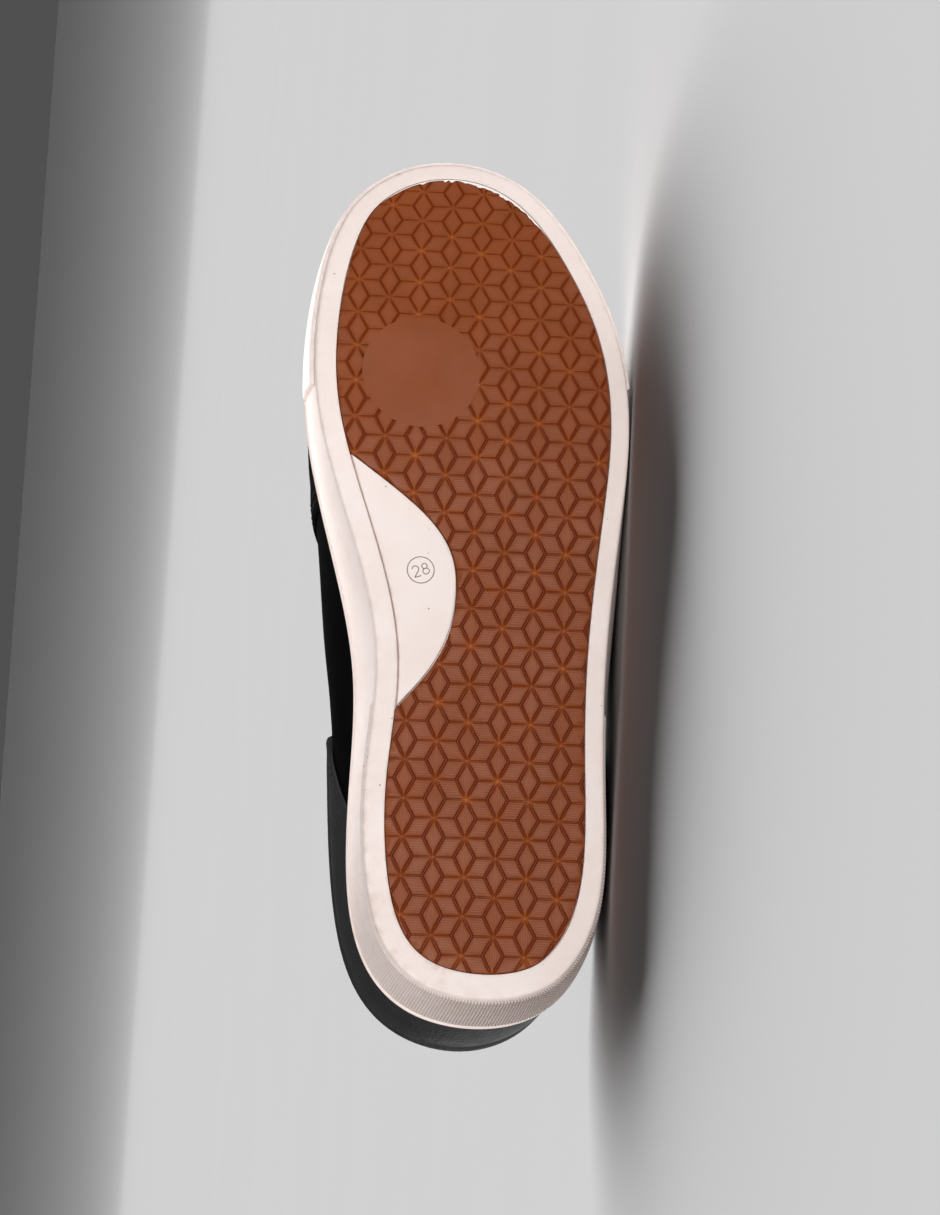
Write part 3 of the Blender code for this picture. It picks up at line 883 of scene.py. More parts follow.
def floor_paint():
    """Flat pale paint with a faint slow change of tone."""
    made = Finish("floor_paint", Roughness=0.95, Specular_IOR_Level=0.0)
    made.colour(made.mix(made.noise(3.0), *FLOOR_TONES))
    return made.material


WHITE = white_rubber()
GUM = gum_rubber()
LEATHER = smooth_leather()
PEBBLED = pebbled_leather()
LINING = woven("lining_cloth", LINING_TONES, LINING_THREADS, 0.30)
FOOTBED = woven("footbed_cloth", FOOTBED_TONES, FOOTBED_THREADS, 0.40)
THREAD = sewing_thread()
MARK_GREY = mark_grey()
PAINT = floor_paint()


# Samples of the cup: round the sole, over a rounded edge, across the rim, up the wall and inside
CUP_ROUND = 720
QUARTER = np.linspace(0, math.pi / 2, 6)
RIM_SHARES = np.linspace(0, 1, 8)[1:-1]
WALL_SHARES = np.concatenate([np.linspace(0.09, 0.86, 14), np.linspace(0.875, 0.965, 16)])
INSIDE_SHARES = (0.85, 0.5, 0.2, 0.0)
# Radii of its edges: the rim's lip, the lower corner, the top and the ledge inside
RIM_LIP = 0.28
CORNER = 0.9
TOP_ROUND = 1.1
LEDGE_ROUND = 0.5
# The groove under the bead as shares of the wall's height, its depth, how proud the bead is, and
# the angles between which it swells and sinks on the inner side
BEAD_SHARE = 0.925
BEAD_WIDTH = 0.016
BEAD_DEPTH = 0.55
BEAD_PROUD = 0.05
BEAD_PROUD_INNER = 0.60
BEAD_SWELLS = (2.5, 3.1)
BEAD_SINKS = (5.6, 6.2)
# Grime on each part of the cup, with painted shade at the lip into the recess and in the groove
# under the bead, a share of both on all of it, and more of it round an angle on the inner heel
LIP_SHADE = 0.55
RIM_GRIME = (0.05, 0.15)
CORNER_GRIME = 0.38
WALL_GRIME = 0.10
BEAD_GROOVE_SHADE = 0.5
TOP_GRIME = 0.1
LEDGE_GRIME = 0.35
CUP_GRIME_AND_SHADE = 0.55
HEEL_GRIME = 0.75
HEEL_GRIME_ANGLE = 3.75
HEEL_GRIME_WIDE = 0.5
# Smudges on the rim at the inner side of the heel: along, across, radius and strength
RIM_STAINS = (
    (33.6, -37.7, 2.2, 0.30),
    (22.0, -26.0, 1.8, 0.26),
    (15.3, -30.2, 2.0, 0.32),
    (10.2, -26.4, 1.6, 0.28),
    (13.1, -17.9, 1.5, 0.42),
    (11.2, -15.4, 1.5, 0.44),
    (9.7, -12.2, 1.5, 0.40),
    (6.1, -13.0, 1.8, 0.28),
    (17.4, -22.3, 1.4, 0.32),
)
# A nick in the edge at the toe, in the same way: a dark spot of painted shade in the pits' colour
NICKS = ((300.6, -36.0, 1.0, 0.9),)


def bead_groove(share):
    """Section of the groove under the bead: a bell over the share of height."""
    return np.exp(-(((share - BEAD_SHARE) / BEAD_WIDTH) ** 2))


def wall_relief(share, proud):
    """Relief of the wall over its height: a fine groove near the top, with a bead above it."""
    bead = proud * ease(share, BEAD_SHARE, BEAD_SHARE + 2 * BEAD_WIDTH)
    return bead - BEAD_DEPTH * bead_groove(share)


def cup_rows(angle):
    """Rows of points along the cup's profile, their grime and painted shade, and how many are on
    the underside.

    The profile goes from the recess over the lip, rim, corner, wall, bead, top and ledge to the
    cup's floor. Rounded edges are quarter circles.
    """
    edge, outward = sole_edge(angle)
    inside = rim_inset(angle)
    height = SOLE_HEIGHT(angle)
    swell = ease(angle, *BEAD_SWELLS) * ease(-angle, -BEAD_SINKS[1], -BEAD_SINKS[0])
    proud = BEAD_PROUD + (BEAD_PROUD_INNER - BEAD_PROUD) * swell
    rows = [lift(inside, RECESS_DEPTH), lift(inside, RECESS_DEPTH / 2)]
    grime_and_shade = [0.0, 0.0]
    # Painted shade at the lip into the recess
    for turn in QUARTER:
        step = RIM_LIP * (1 - math.cos(turn))
        rows.append(lift(inside + outward * step, RIM_LIP * (1 - math.sin(turn))))
        grime_and_shade.append(LIP_SHADE)
    start = inside + outward * RIM_LIP
    end = edge - outward * CORNER
    for share in RIM_SHARES:
        rows.append(lift(start + (end - start) * share, 0.0))
        grime_and_shade.append(RIM_GRIME[0] + (RIM_GRIME[1] - RIM_GRIME[0]) * share)
    for turn in QUARTER:
        share = CORNER * (1 - math.cos(turn)) / height
        lean = SOLE_FLARE(angle) * share + WALL_BELLY * 4 * share * (1 - share)
        step = lean - CORNER * (1 - math.sin(turn))
        rows.append(lift(edge + outward * step[:, None], CORNER * (1 - math.cos(turn))))
        grime_and_shade.append(CORNER_GRIME)
    rim_rows = len(rows)
    for share in WALL_SHARES:
        row = wall(angle, np.full(CUP_ROUND, share))
        row[:, :2] += outward * wall_relief(share, proud)[:, None]
        rows.append(row)
        # Painted shade in the groove under the bead
        grime_and_shade.append(WALL_GRIME + BEAD_GROOVE_SHADE * bead_groove(share))
    for turn in QUARTER:
        row = wall(angle, 1 - TOP_ROUND * (1 - math.sin(turn)) / height)
        row[:, :2] += outward * (proud - TOP_ROUND * (1 - math.cos(turn)))[:, None]
        rows.append(row)
        grime_and_shade.append(TOP_GRIME)
    for turn in QUARTER:
        share = LEDGE_ROUND * (1 - math.cos(turn)) / (height - cup_floor(edge[:, 0]))
        row = cup_inside(angle, 1 - share)
        row[:, :2] += outward * (LEDGE_ROUND * (1 - math.sin(turn)))
        rows.append(row)
        grime_and_shade.append(LEDGE_GRIME)
    for share in INSIDE_SHARES:
        rows.append(cup_inside(angle, np.full(CUP_ROUND, share)))
        grime_and_shade.append(0.0)
    return np.stack(rows), np.array(grime_and_shade)[:, None], rim_rows


def make_cup():
    """The white cup: its profile carried round the sole, closed in the recess and on its floor."""
    angle = np.arange(CUP_ROUND) * FULL / CUP_ROUND
    points, grime_and_shade, rim_rows = cup_rows(angle)
    count = len(points)
    quads = grid_faces(count, CUP_ROUND, close_columns=True)
    caps = [across_fill(0, CUP_ROUND), across_fill((count - 1) * CUP_ROUND, CUP_ROUND)]
    inner_heel = np.exp(-(((angle - HEEL_GRIME_ANGLE) / HEEL_GRIME_WIDE) ** 2))
    under = np.where(np.arange(count) < rim_rows, 1.0, 0.0)[:, None]
    # Grime with painted shade at the lip and under the bead, stains, and painted shade at the nick
    tags = {
        "grime_and_shade": grime_and_shade * (CUP_GRIME_AND_SHADE + HEEL_GRIME * inner_heel),
        "stain": spots(points, RIM_STAINS) * under,
        "pit": spots(points, NICKS) * under,
    }
    add_piece("cup_sole", points, [quads, *caps], [WHITE], ["cupsole"], tags)


# Samples of the pad's outline, and how many points are dropped onto it at a time
PAD_ROUND = 1080
DROP_BATCH = 3000


def pad_outline(extra):
    """Plan of the tread pad: the line inside the rim, cut away over the arch."""
    loop = np.arange(PAD_ROUND) * FULL / PAD_ROUND
    plan = rim_inset(loop, extra)
    start, end = min(ARCH_TABLE), max(ARCH_TABLE)
    beside_arch = (loop > math.pi) & (plan[:, 0] > start) & (plan[:, 0] < end)
    cut = arch_line(np.clip(plan[:, 0], start, end))
    plan[:, 1] = np.where(beside_arch, np.maximum(plan[:, 1], cut), plan[:, 1])
    return plan


def to_outline(points, outline):
    """Distance of points inside a closed line, negative outside, and the nearest place on it.

    The place is given as a point and as a number of stretches from the start of the line. Each
    point is dropped onto every stretch and the nearest drop is kept. The sign is that of the
    cross product with the stretch, which runs round with its inside on the left.
    """
    after = np.roll(outline, -1, 0)
    run = after - outline
    square = np.maximum((run**2).sum(1), 1e-12)
    depth = np.empty(len(points))
    place = np.empty((len(points), 2))
    order = np.empty(len(points))
    for block in np.array_split(np.arange(len(points)), max(1, len(points) // DROP_BATCH)):
        away = points[block][:, None, :] - outline[None]
        share = np.clip((away * run).sum(2) / square, 0, 1)
        miss = away - share[..., None] * run
        nearest = np.argmin((miss**2).sum(2), 1)
        pick = np.arange(len(block))
        gap = miss[pick, nearest]
        side = run[nearest, 0] * away[pick, nearest, 1] - run[nearest, 1] * away[pick, nearest, 0]
        depth[block] = np.where(side > 0, 1, -1) * np.linalg.norm(gap, axis=1)
        place[block] = points[block] - gap
        order[block] = nearest + share[pick, nearest]
    return depth, place, order


# Sample places across a block, in millimetres from the middle of the groove beside it
BLOCK_SAMPLES = (0.0, 0.14, GROOVE_FLOOR, 0.46, GROOVE_TOP, 1.1, 1.9)


def tread_blocks():
    """Plan points of the blocks, a grid for each, with their groove, star, tall and face tags.

    Stars lie on a triangular lattice. Each star starts three rhombi, and a rhombus is its star
    plus shares of two edge vectors. The groove depth falls from the floor to the top with the
    distance from the nearest edge of the rhombus. A groove narrows and rises towards its star.
    """
    third = COLUMN_PITCH / 3
    slip = COLUMN_SHIFT / 3
    half = STAR_PITCH / 2
    rays = np.array(
        [[half - slip, -third], [half + slip, third], [2 * slip, 2 * third], [slip - half, third]]
    )
    column, row = np.meshgrid(STAR_COLUMNS, STAR_ROWS, indexing="ij")
    along = STAR_ALONG + (row + 0.5 * (column % 2)) * STAR_PITCH + COLUMN_SHIFT * column
    star = np.stack([along, STAR_ACROSS + column * COLUMN_PITCH], -1).reshape(-1, 1, 1, 2)
    near = np.array(BLOCK_SAMPLES)
    plans, tags = [], []
    # Each rhombus: its two edges, and the widths of the grooves along the second and the first
    for first, second, widths in (
        (rays[0], rays[1], (1.0, 1.0)),
        (rays[1], rays[2], (THIN_GROOVE, 1.0)),
        (rays[2], rays[3], (1.0, THIN_GROOVE)),
    ):
        area = abs(first[0] * second[1] - first[1] * second[0])
        tall = np.array([area / np.linalg.norm(second), area / np.linalg.norm(first)])
        sides = (np.append(near / t, 1 - near[::-1] / t) for t in tall)
        shares = np.meshgrid(*sides, indexing="ij")
        offset = shares[0][..., None] * first + shares[1][..., None] * second
        from_far_star = np.linalg.norm(first + second - offset, axis=-1)
        reach = np.minimum(np.linalg.norm(offset, axis=-1), from_far_star)
        taper = STAR_NARROW + (1 - STAR_NARROW) * ease(reach, *STAR_TAPER)
        taper = taper * (1 - TOE_FINE * ease(star[..., 0], *TOE_FINE_SPAN))
        inset = [np.minimum(share, 1 - share) * t for share, t in zip(shares, tall)]
        groove = np.maximum(*(
            (1 - ease(gap / (width * taper), GROOVE_FLOOR, GROOVE_TOP)) * width * taper
            for gap, width in zip(inset, widths)
        ))
        groove = groove * (STAR_SHALLOW + (1 - STAR_SHALLOW) * ease(reach, *STAR_CLEAR))
        # The star tag: a painted orange glow round each star
        glow = np.exp(-((reach / STAR_RADIUS) ** 2)) + 0 * groove
        upright = np.full(groove.shape, float(widths == (1.0, 1.0)))
        face = ease(np.minimum(*inset), *FACE_SPAN) + 0 * groove
        plans.append(star + offset[None])
        tags.append(np.stack([groove, glow, upright, face], -1))
    return np.concatenate(plans), np.concatenate(tags)


# The most that the sole bends up, in radians, where the tread is laid on it
MOST_BEND = 1.2


def on_spring(plan):
    """Places measured along the sole's surface moved to their plan, closed up towards the toe."""
    far = np.maximum(plan[:, 0] - TOE_START, 0)
    along = plan[:, 0] - TOE_CLOSING * far
    bent = np.clip((along - SPRING_START) / SPRING_RADIUS, 0, MOST_BEND)
    along = np.minimum(along, SPRING_START) + SPRING_RADIUS * np.sin(bent)
    return np.stack([along, plan[:, 1] + TOE_DRIFT * far**2], -1)


def outside_circle(quads, plan, tags, middle, radius):
    """Groups of faces from quads trimmed to the outside of a circle, and the new plan and tags.

    A new point is where an edge crosses the circle, the first root of a quadratic along the edge.
    A quad with one, two or three corners outside becomes a triangle, a quad or a pentagon.
    """
    away = plan - middle
    out = (away**2).sum(1) > radius**2
    count = out[quads].sum(1)
    kept, pairs = [], []
    for corners in (1, 2, 3):
        cells = quads[count == corners]
        start = np.argmax(out[cells] & ~np.roll(out[cells], 1, 1), 1)
        cells = np.take_along_axis(cells, (start[:, None] + np.arange(4)) % 4, 1)
        kept.append(cells[:, :corners])
        pairs.append(np.stack([cells[:, [corners - 1, corners]], cells[:, [0, 3]]], 1))
    edges, number = np.unique(np.concatenate(pairs).reshape(-1, 2), axis=0, return_inverse=True)
    number = len(plan) + number.reshape(-1, 2)
    groups = [quads[count == 4]]
    for cells in kept:
        groups.append(np.concatenate([cells, number[: len(cells)]], 1))
        number = number[len(cells) :]
    run = plan[edges[:, 1]] - plan[edges[:, 0]]
    begin = away[edges[:, 0]]
    square, middle_term = (run**2).sum(1), (begin * run).sum(1)
    rest = (begin**2).sum(1) - radius**2
    root = np.sqrt(np.maximum(middle_term**2 - square * rest, 0))
    share = ((-middle_term - root) / square)[:, None]
    crossing = (1 - share) * tags[edges[:, 0]] + share * tags[edges[:, 1]]
    plan = np.concatenate([plan, plan[edges[:, 0]] + share * run])
    return groups, plan, np.concatenate([tags, crossing])


# Edges of the tread are smooth up to this angle, in degrees
TREAD_SHARP = 60.0


def pad_front():
    """The grooved front of the pad: blocks trimmed to its outline and round the plain disc.

    Gives its points and groups of faces, and for each point its place on the outline, its tags,
    and whether it is on the disc's circle. The pad's edge is rounded off by a parabola.
    """
    plan, tags = tread_blocks()
    blocks, size = plan.shape[:2]
    cell = grid_faces(size, size)
    quads = (np.arange(blocks)[:, None, None] * size * size + cell).reshape(-1, 4)
    plan = on_spring(plan.reshape(-1, 2))
    keep = (plan[:, 0] > -PLAN_MARGIN) & (plan[:, 0] < SOLE_LENGTH + PLAN_MARGIN)
    keep &= np.abs(plan[:, 1] - PLAN_MIDDLE) < PLAN_HALF
    first, back = weld(np.column_stack([plan, np.zeros(len(plan))]))
    quads = back[quads[keep[quads].all(1)]]
    plan, tags = plan[first], tags.reshape(-1, tags.shape[-1])[first]
    depth, place, order = to_outline(plan, pad_outline(GAP))
    outside = depth < EDGE_SNAP
    quads = quads[~outside[quads].all(1)]
    plan = np.where(outside[:, None], place, plan)
    groups, plan, tags = outside_circle(quads, plan, tags, DISC, DISC_RADIUS)
    on_circle = np.arange(len(plan)) >= len(depth)
    order = np.append(order, np.zeros(on_circle.sum()))
    inset = np.append(np.where(outside, 0.0, depth), np.full(on_circle.sum(), PAD_EDGE))
    rounding = PAD_EDGE * np.clip(1 - inset / PAD_EDGE, 0, 1) ** 2
    tags[:, 1] = np.maximum(tags[:, 1], spots(plan, PAD_SMEARS))
    front = lift(plan, np.maximum(GROOVE_DEPTH * tags[:, 0], rounding))
    first, back = weld(front)
    parts = []
    for group in groups:
        parts += [part for part, _ in split_thin(back[group], np.zeros(len(group), np.int32))]
    used = np.unique(np.concatenate([part.ravel() for part in parts]))
    number = np.full(len(first), -1)
    number[used] = np.arange(len(used))
    parts = [number[part] for part in parts]
    source = first[used]
    return front[source], parts, order[source], tags[source], on_circle[source]


def make_tread():
    """The gum pad: its grooved front, rings for the plain disc, a side and a plain back."""
    front, parts, order, tags, on_circle = pad_front()
    sides = [np.stack([part, np.roll(part, -1, 1)], -1).reshape(-1, 2) for part in parts]
    sides = np.concatenate(sides)
    _, where, count = np.unique(np.sort(sides, 1), axis=0, return_index=True, return_counts=True)
    border = sides[where[count == 1]]
    circle = on_circle[border].all(1)
    # The side and back of the pad, from the border that is not on the circle
    edge = np.unique(border[~circle])
    edge = edge[np.argsort(order[edge])]
    behind = np.full(len(front), -1)
    behind[edge] = len(front) + np.arange(len(edge))
    rear = lift(front[edge][:, :2], PAD_DEPTH)
    lid = behind[edge][None, ::-1]
    # The plain disc: rings from the circle inwards, and a middle point
    ring = np.unique(border[circle])
    away = front[ring][:, :2] - DISC
    turned = np.argsort(np.arctan2(away[:, 1], away[:, 0]))
    ring, away = ring[turned], away[turned]
    disc_start = len(front) + len(edge)
    behind[ring] = disc_start + np.arange(len(ring))
    disc = np.concatenate([DISC + away * share for share in DISC_RINGS] + [DISC[None]])
    rings = disc_start + grid_faces(len(DISC_RINGS), len(ring), close_columns=True)[:, ::-1]
    last = disc_start + (len(DISC_RINGS) - 1) * len(ring) + np.arange(len(ring))
    fan = np.stack([np.roll(last, -1), last, np.full(len(ring), disc_start + len(disc) - 1)], -1)
    skirt = np.stack([border[:, 1], border[:, 0], behind[border[:, 0]], behind[border[:, 1]]], -1)
    disc_tags = np.tile([0.0, 0.0, 0.0, 1.0], (len(disc), 1))
    tags = np.concatenate([tags, np.zeros((len(edge), 4)), disc_tags])
    named = dict(zip(("groove", "star", "tall", "face"), tags.T))
    named["block"] = np.where(np.arange(len(tags)) < len(front), 1.0, 0.0)
    points = np.concatenate([front, rear, lift(disc, 0.0)])
    faces = [*parts, skirt, lid, rings, fan]
    replaced = ["outsole_gum"]
    add_piece("tread_pad", points, faces, [GUM], replaced, named, sharp=TREAD_SHARP)


# The waist insert: its gaps to the pad and to the rim, the rounding of its edges, the width under
# which it ends, its samples, the painted shade along its edges and the grime on its back
INSERT_GAP = 0.42
INSERT_SEAM = 0.48
INSERT_EDGE = 0.4
INSERT_LEAST = 0.12
INSERT_STATIONS = 220
INSERT_ACROSS = 22
RIM_SAMPLES = 900
ARCH_SAMPLES = 2000
INSERT_EDGE_SHADE = 0.55
INSERT_EDGE_SHADE_WIDE = 0.8
INSERT_BACK_GRIME = 0.2
# Places over the rounding of a strip's edge, as shares of its width
EDGE_SHARES = np.array([0.0, 0.15, 0.35, 0.65, 1.0])


def edge_samples(low, high, soft, inner):
    """Places across a strip, crowded at both edges over the width of their rounding."""
    width = (high - low)[:, None]
    scale = np.minimum(1, width / (4 * soft))
    near = soft * EDGE_SHARES[None] * scale
    run = np.linspace(0, 1, inner)[None, 1:-1]
    middle = near[:, -1:] + (width - 2 * near[:, -1:]) * run
    return low[:, None] + np.concatenate([near, middle, width - near[:, ::-1]], 1)


def crowded_run(count, short=0.0):
    """Shares from 0 to 1 that crowd at both ends: half a cosine wave, cut short by an angle."""
    return 0.5 - 0.5 * np.cos(np.linspace(short, math.pi - short, count))


def make_arch_insert():
    """The white piece in the waist: rounded strips across, between the rim and the arch curve."""
    rim = rim_inset(np.linspace(math.pi, FULL, RIM_SAMPLES), INSERT_SEAM)
    along = np.linspace(min(ARCH_TABLE), max(ARCH_TABLE), ARCH_SAMPLES)
    low = np.interp(along, rim[:, 0], rim[:, 1])
    slope = np.gradient(arch_line(along), along)
    high = arch_line(along) - INSERT_GAP * np.sqrt(1 + slope**2)
    wide = along[high - low > INSERT_LEAST]
    station = wide[0] + (wide[-1] - wide[0]) * crowded_run(INSERT_STATIONS)
    low = np.interp(station, rim[:, 0], rim[:, 1])
    high = np.interp(station, along, high)
    across = edge_samples(low, high, INSERT_EDGE, INSERT_ACROSS)
    inset = np.minimum(across - low[:, None], high[:, None] - across)
    rounding = INSERT_EDGE * np.clip(1 - inset / INSERT_EDGE, 0, 1) ** 2
    points, faces = strip_slab(station, across, rounding, PAD_DEPTH)
    # Grime on its back, then painted shade along the edges of its top, where the seams are
    grime_and_shade = np.full(points.shape[:2], INSERT_BACK_GRIME)
    grime_and_shade[:, : across.shape[1]] = INSERT_EDGE_SHADE * np.clip(1 - inset / INSERT_EDGE_SHADE_WIDE, 0, 1)
    tags = {"grime_and_shade": grime_and_shade}
    add_piece("waist_insert", points, faces, [WHITE], ["arch_insert"], tags)


BEAD_SIDES = 8


def tube(path, normal, radius, closed):
    """Points and faces of a round bead: a circle of the radius carried along a path."""
    ahead = np.gradient(path, axis=0)
    if closed:
        ahead = np.roll(path, -1, 0) - np.roll(path, 1, 0)
    ahead /= np.linalg.norm(ahead, axis=1, keepdims=True)
    beside = np.cross(normal, ahead)
    turn = np.arange(BEAD_SIDES) * FULL / BEAD_SIDES
    ring = np.cos(turn)[None, :, None] * beside[:, None] + np.sin(turn)[None, :, None] * normal
    points = path[:, None] + radius * ring
    quads = grid_faces(len(path), BEAD_SIDES, close_rows=closed, close_columns=True)
    caps = [] if closed else end_caps(len(path), BEAD_SIDES)
    return points.reshape(-1, 3), [quads, *caps]


# The digits in digit heights from the low left corner. The two: the middle, radius and degrees of
# its bow, and the ends of its neck and foot. The eight: the middles and half sizes of its rings.
TWO_BOW = np.array([0.30, 0.71])
TWO_BOW_RADIUS = 0.29
TWO_BOW_TURN = (165, -42)
TWO_NECK = ((0.50, 0.49), (0.02, 0.0))
TWO_FOOT = ((0.02, 0.0), (0.62, 0.0))
EIGHT_RINGS = (((1.16, 0.745), (0.235, 0.235)), ((1.16, 0.265), (0.285, 0.265)))
DIGITS_MIDDLE = np.array([0.73, 0.5])
MARK_ROUND = 96
BOW_SAMPLES = 28
NECK_SAMPLES = 12
FOOT_SAMPLES = 10
MARK_SUNK = 0.04


def make_size_mark():
    """The ring and the two digits moulded in the waist, as round beads on plain paths."""
    turn = np.arange(MARK_ROUND) * FULL / MARK_ROUND
    circle = np.stack([np.cos(turn), np.sin(turn)], -1)
    bow = np.radians(np.linspace(*TWO_BOW_TURN, BOW_SAMPLES))
    two = np.concatenate([
        TWO_BOW + TWO_BOW_RADIUS * np.stack([np.cos(bow), np.sin(bow)], -1),
        np.linspace(*TWO_NECK, NECK_SAMPLES)[1:],
        np.linspace(*TWO_FOOT, FOOT_SAMPLES)[1:],
    ])
    strokes = [(circle * MARK_RADIUS, True), ((two - DIGITS_MIDDLE) * DIGIT_HEIGHT, False)]
    for middle, size in EIGHT_RINGS:
        eight = np.array(middle) + np.array(size) * circle[::2]
        strokes.append(((eight - DIGITS_MIDDLE) * DIGIT_HEIGHT, True))
    right = np.array([math.sin(MARK_TURN), math.cos(MARK_TURN)])
    above = np.array([math.cos(MARK_TURN), -math.sin(MARK_TURN)])
    down = np.array([0.0, 0.0, -1.0])
    beads = []
    for stroke, closed in strokes:
        plan = np.array([MARK_ALONG, MARK_ACROSS]) + stroke[:, :1] * right + stroke[:, 1:] * above
        beads.append(tube(lift(plan, MARK_SUNK), down, MARK_LINE, closed))
    points, faces = joined(beads)
    add_piece("size_mark", points, faces, [MARK_GREY])


# White flash over the pad's edge at the toe: angle, half length as an angle, and reach inward
FLASH = (
    (-0.150, 0.016, 0.60),
    (-0.020, 0.011, 0.95),
    (0.018, 0.015, 0.85),
    (0.110, 0.040, 0.75),
    (0.175, 0.045, 1.15),
    (0.250, 0.045, 0.80),
    (0.320, 0.030, 1.25),
    (0.390, 0.055, 0.70),
    (0.500, 0.040, 0.50),
)
# Width of the flash between those places, its distance from the rim's line, and its least reach
FLASH_LIP = 0.34
FLASH_OFF_RIM = 0.34
FLASH_LEAST = 0.02
# Angles where it ends, and between which it has its full size
FLASH_ENDS = (-0.42, 0.62)
FLASH_FULL = (-0.30, 0.48)
FLASH_SAMPLES = 600
# Its reach wavers by a share, in waves per radian
FLASH_WAVER = 0.15
FLASH_WAVES = 150.0
# Its section, from the rim inwards: share of the reach, and height over the ground
FLASH_SECTION = (
    (0.0, 0.10), (0.12, -0.14), (0.5, -0.20), (0.85, -0.10), (1.0, 0.12), (0.5, 0.25), (0.1, 0.30),
)
# Height that the section flattens to at the ends
FLASH_FLAT = 0.05


def make_flash():
    """Thin white flash from the rim over the pad's edge: a flat lens with a wavering reach."""
    angle = np.linspace(*FLASH_ENDS, FLASH_SAMPLES)
    plan = rim_inset(angle)
    _, outward = sole_edge(angle)
    reach = np.zeros(len(angle))
    for place, half, size in FLASH:
        reach = np.maximum(reach, size * np.exp(-(((angle - place) / half) ** 4)))
    ends = ease(angle, FLASH_ENDS[0], FLASH_FULL[0]) * ease(-angle, -FLASH_ENDS[1], -FLASH_FULL[1])
    waver = 1 - FLASH_WAVER + FLASH_WAVER * np.sin(angle * FLASH_WAVES)
    reach = (reach * waver + FLASH_LIP) * ends + FLASH_LEAST
    share, height = np.array(FLASH_SECTION).T
    inward = FLASH_OFF_RIM + share * reach[:, None]
    grid = plan[:, None] - outward[:, None] * inward[..., None]
    points = lift(grid, height * ends[:, None] + FLASH_FLAT * (1 - ends[:, None]))
    rows, size = points.shape[:2]
    faces = [grid_faces(rows, size, close_columns=True), *end_caps(rows, size)]
    # Painted whiter than the rim: a painted highlight on the flash's raised lip
    tags = {"flash_highlight": np.ones((rows, size))}
    add_piece("toe_flash", points, faces, [WHITE], tags=tags)


# Bands on the wall: where their backs sit, the rounding of their edges, and the toe band's samples
BAND_SEAT = -0.05
BAND_ROUND = 0.9
HEEL_BAND_ROUND = 0.8
TOE_BAND_ROWS = 40
TOE_BAND_COLUMNS = 320
# Grime at the toe band's edges, and its width
TOE_BAND_GRIME = 0.4
TOE_BAND_GRIME_WIDE = 1.5
# The knurl: its pitch round the heel and up the wall, its depth, and its low edge as a share of
# the wall, whose height at the heel is rounded
KNURL_PITCH = 1.25
KNURL_RISE = 2.9
KNURL_DEPTH = 0.5
KNURL_LOW = 0.035
HEEL_WALL = 30.0
# Where round the heel it is strong, over what width, and the share of it that is left elsewhere
KNURL_STRONG = 2.92
KNURL_STRONG_WIDE = 0.58
KNURL_LEAST = 0.03
# Distances from the border between which it comes in, and the band's share of thickness without it
KNURL_BORDER = (0.3, 0.9)
PLAIN_BAND = 0.2
# Grime all over, painted shade in the pits, the pits' painted dark, and the smoothing angle in
# degrees
KNURL_GRIME = 0.15
PIT_SHADE = 0.3
PIT_DARK = 0.95
KNURL_SHARP = 12.0
# Samples along the band to find its length
LENGTH_SAMPLES = 400


def band_grid(start, end, rows, columns, low=BAND_LOW):
    """Angles and height shares of a band on the wall, its ends given at the low and high edge."""
    rise = np.linspace(0, 1, rows)[:, None]
    run = np.linspace(0, 1, columns)[None, :]
    first = start[0] + (start[1] - start[0]) * rise
    last = end[0] + (end[1] - end[0]) * rise
    return first + (last - first) * run, low + (BAND_HIGH - low) * rise + 0 * run


def border_distance(grid):
    """Distance of each grid point from the nearest border, measured along its row and column."""
    down = np.linalg.norm(np.diff(grid, axis=0), axis=-1)
    over = np.linalg.norm(np.diff(grid, axis=1), axis=-1)
    rows = np.concatenate([np.zeros((1, grid.shape[1])), np.cumsum(down, 0)])
    columns = np.concatenate([np.zeros((grid.shape[0], 1)), np.cumsum(over, 1)], 1)
    rows = np.minimum(rows, rows[-1:] - rows)
    return np.minimum(rows, np.minimum(columns, columns[:, -1:] - columns))


def pillow(distance, radius):
    """A rounded edge: a quarter circle from 0 at the border to 1 at the radius."""
    share = np.clip(distance / radius, 0, 1)
    return np.sqrt(np.maximum(1 - (1 - share) ** 2, 0))


def make_toe_bumper():
    """The smooth band round the toe: the wall moved out, rounded off at the edges."""
    inner_end, outer_end = -angle_of(BUMPER_INNER_END), angle_of(BUMPER_OUTER_END)
    ends = (inner_end, inner_end), (outer_end, outer_end)
    angle, share = band_grid(*ends, TOE_BAND_ROWS, TOE_BAND_COLUMNS)
    inset = border_distance(wall(angle, share))
    thick = BAND_SEAT + (GAP + BUMPER_THICK - BAND_SEAT) * pillow(inset, BAND_ROUND)
    outer = off_surface(wall, angle, share, thick)
    inner = off_surface(wall, angle, share, BAND_SEAT + 0 * share)
    points, quads = two_sided(outer, inner)
    grime_and_shade = TOE_BAND_GRIME * np.clip(1 - inset / TOE_BAND_GRIME_WIDE, 0, 1)
    tags = {"grime_and_shade": np.tile(grime_and_shade.ravel(), 2)}
    add_piece("toe_guard", points, [quads], [WHITE], ["toe_bumper"], tags)


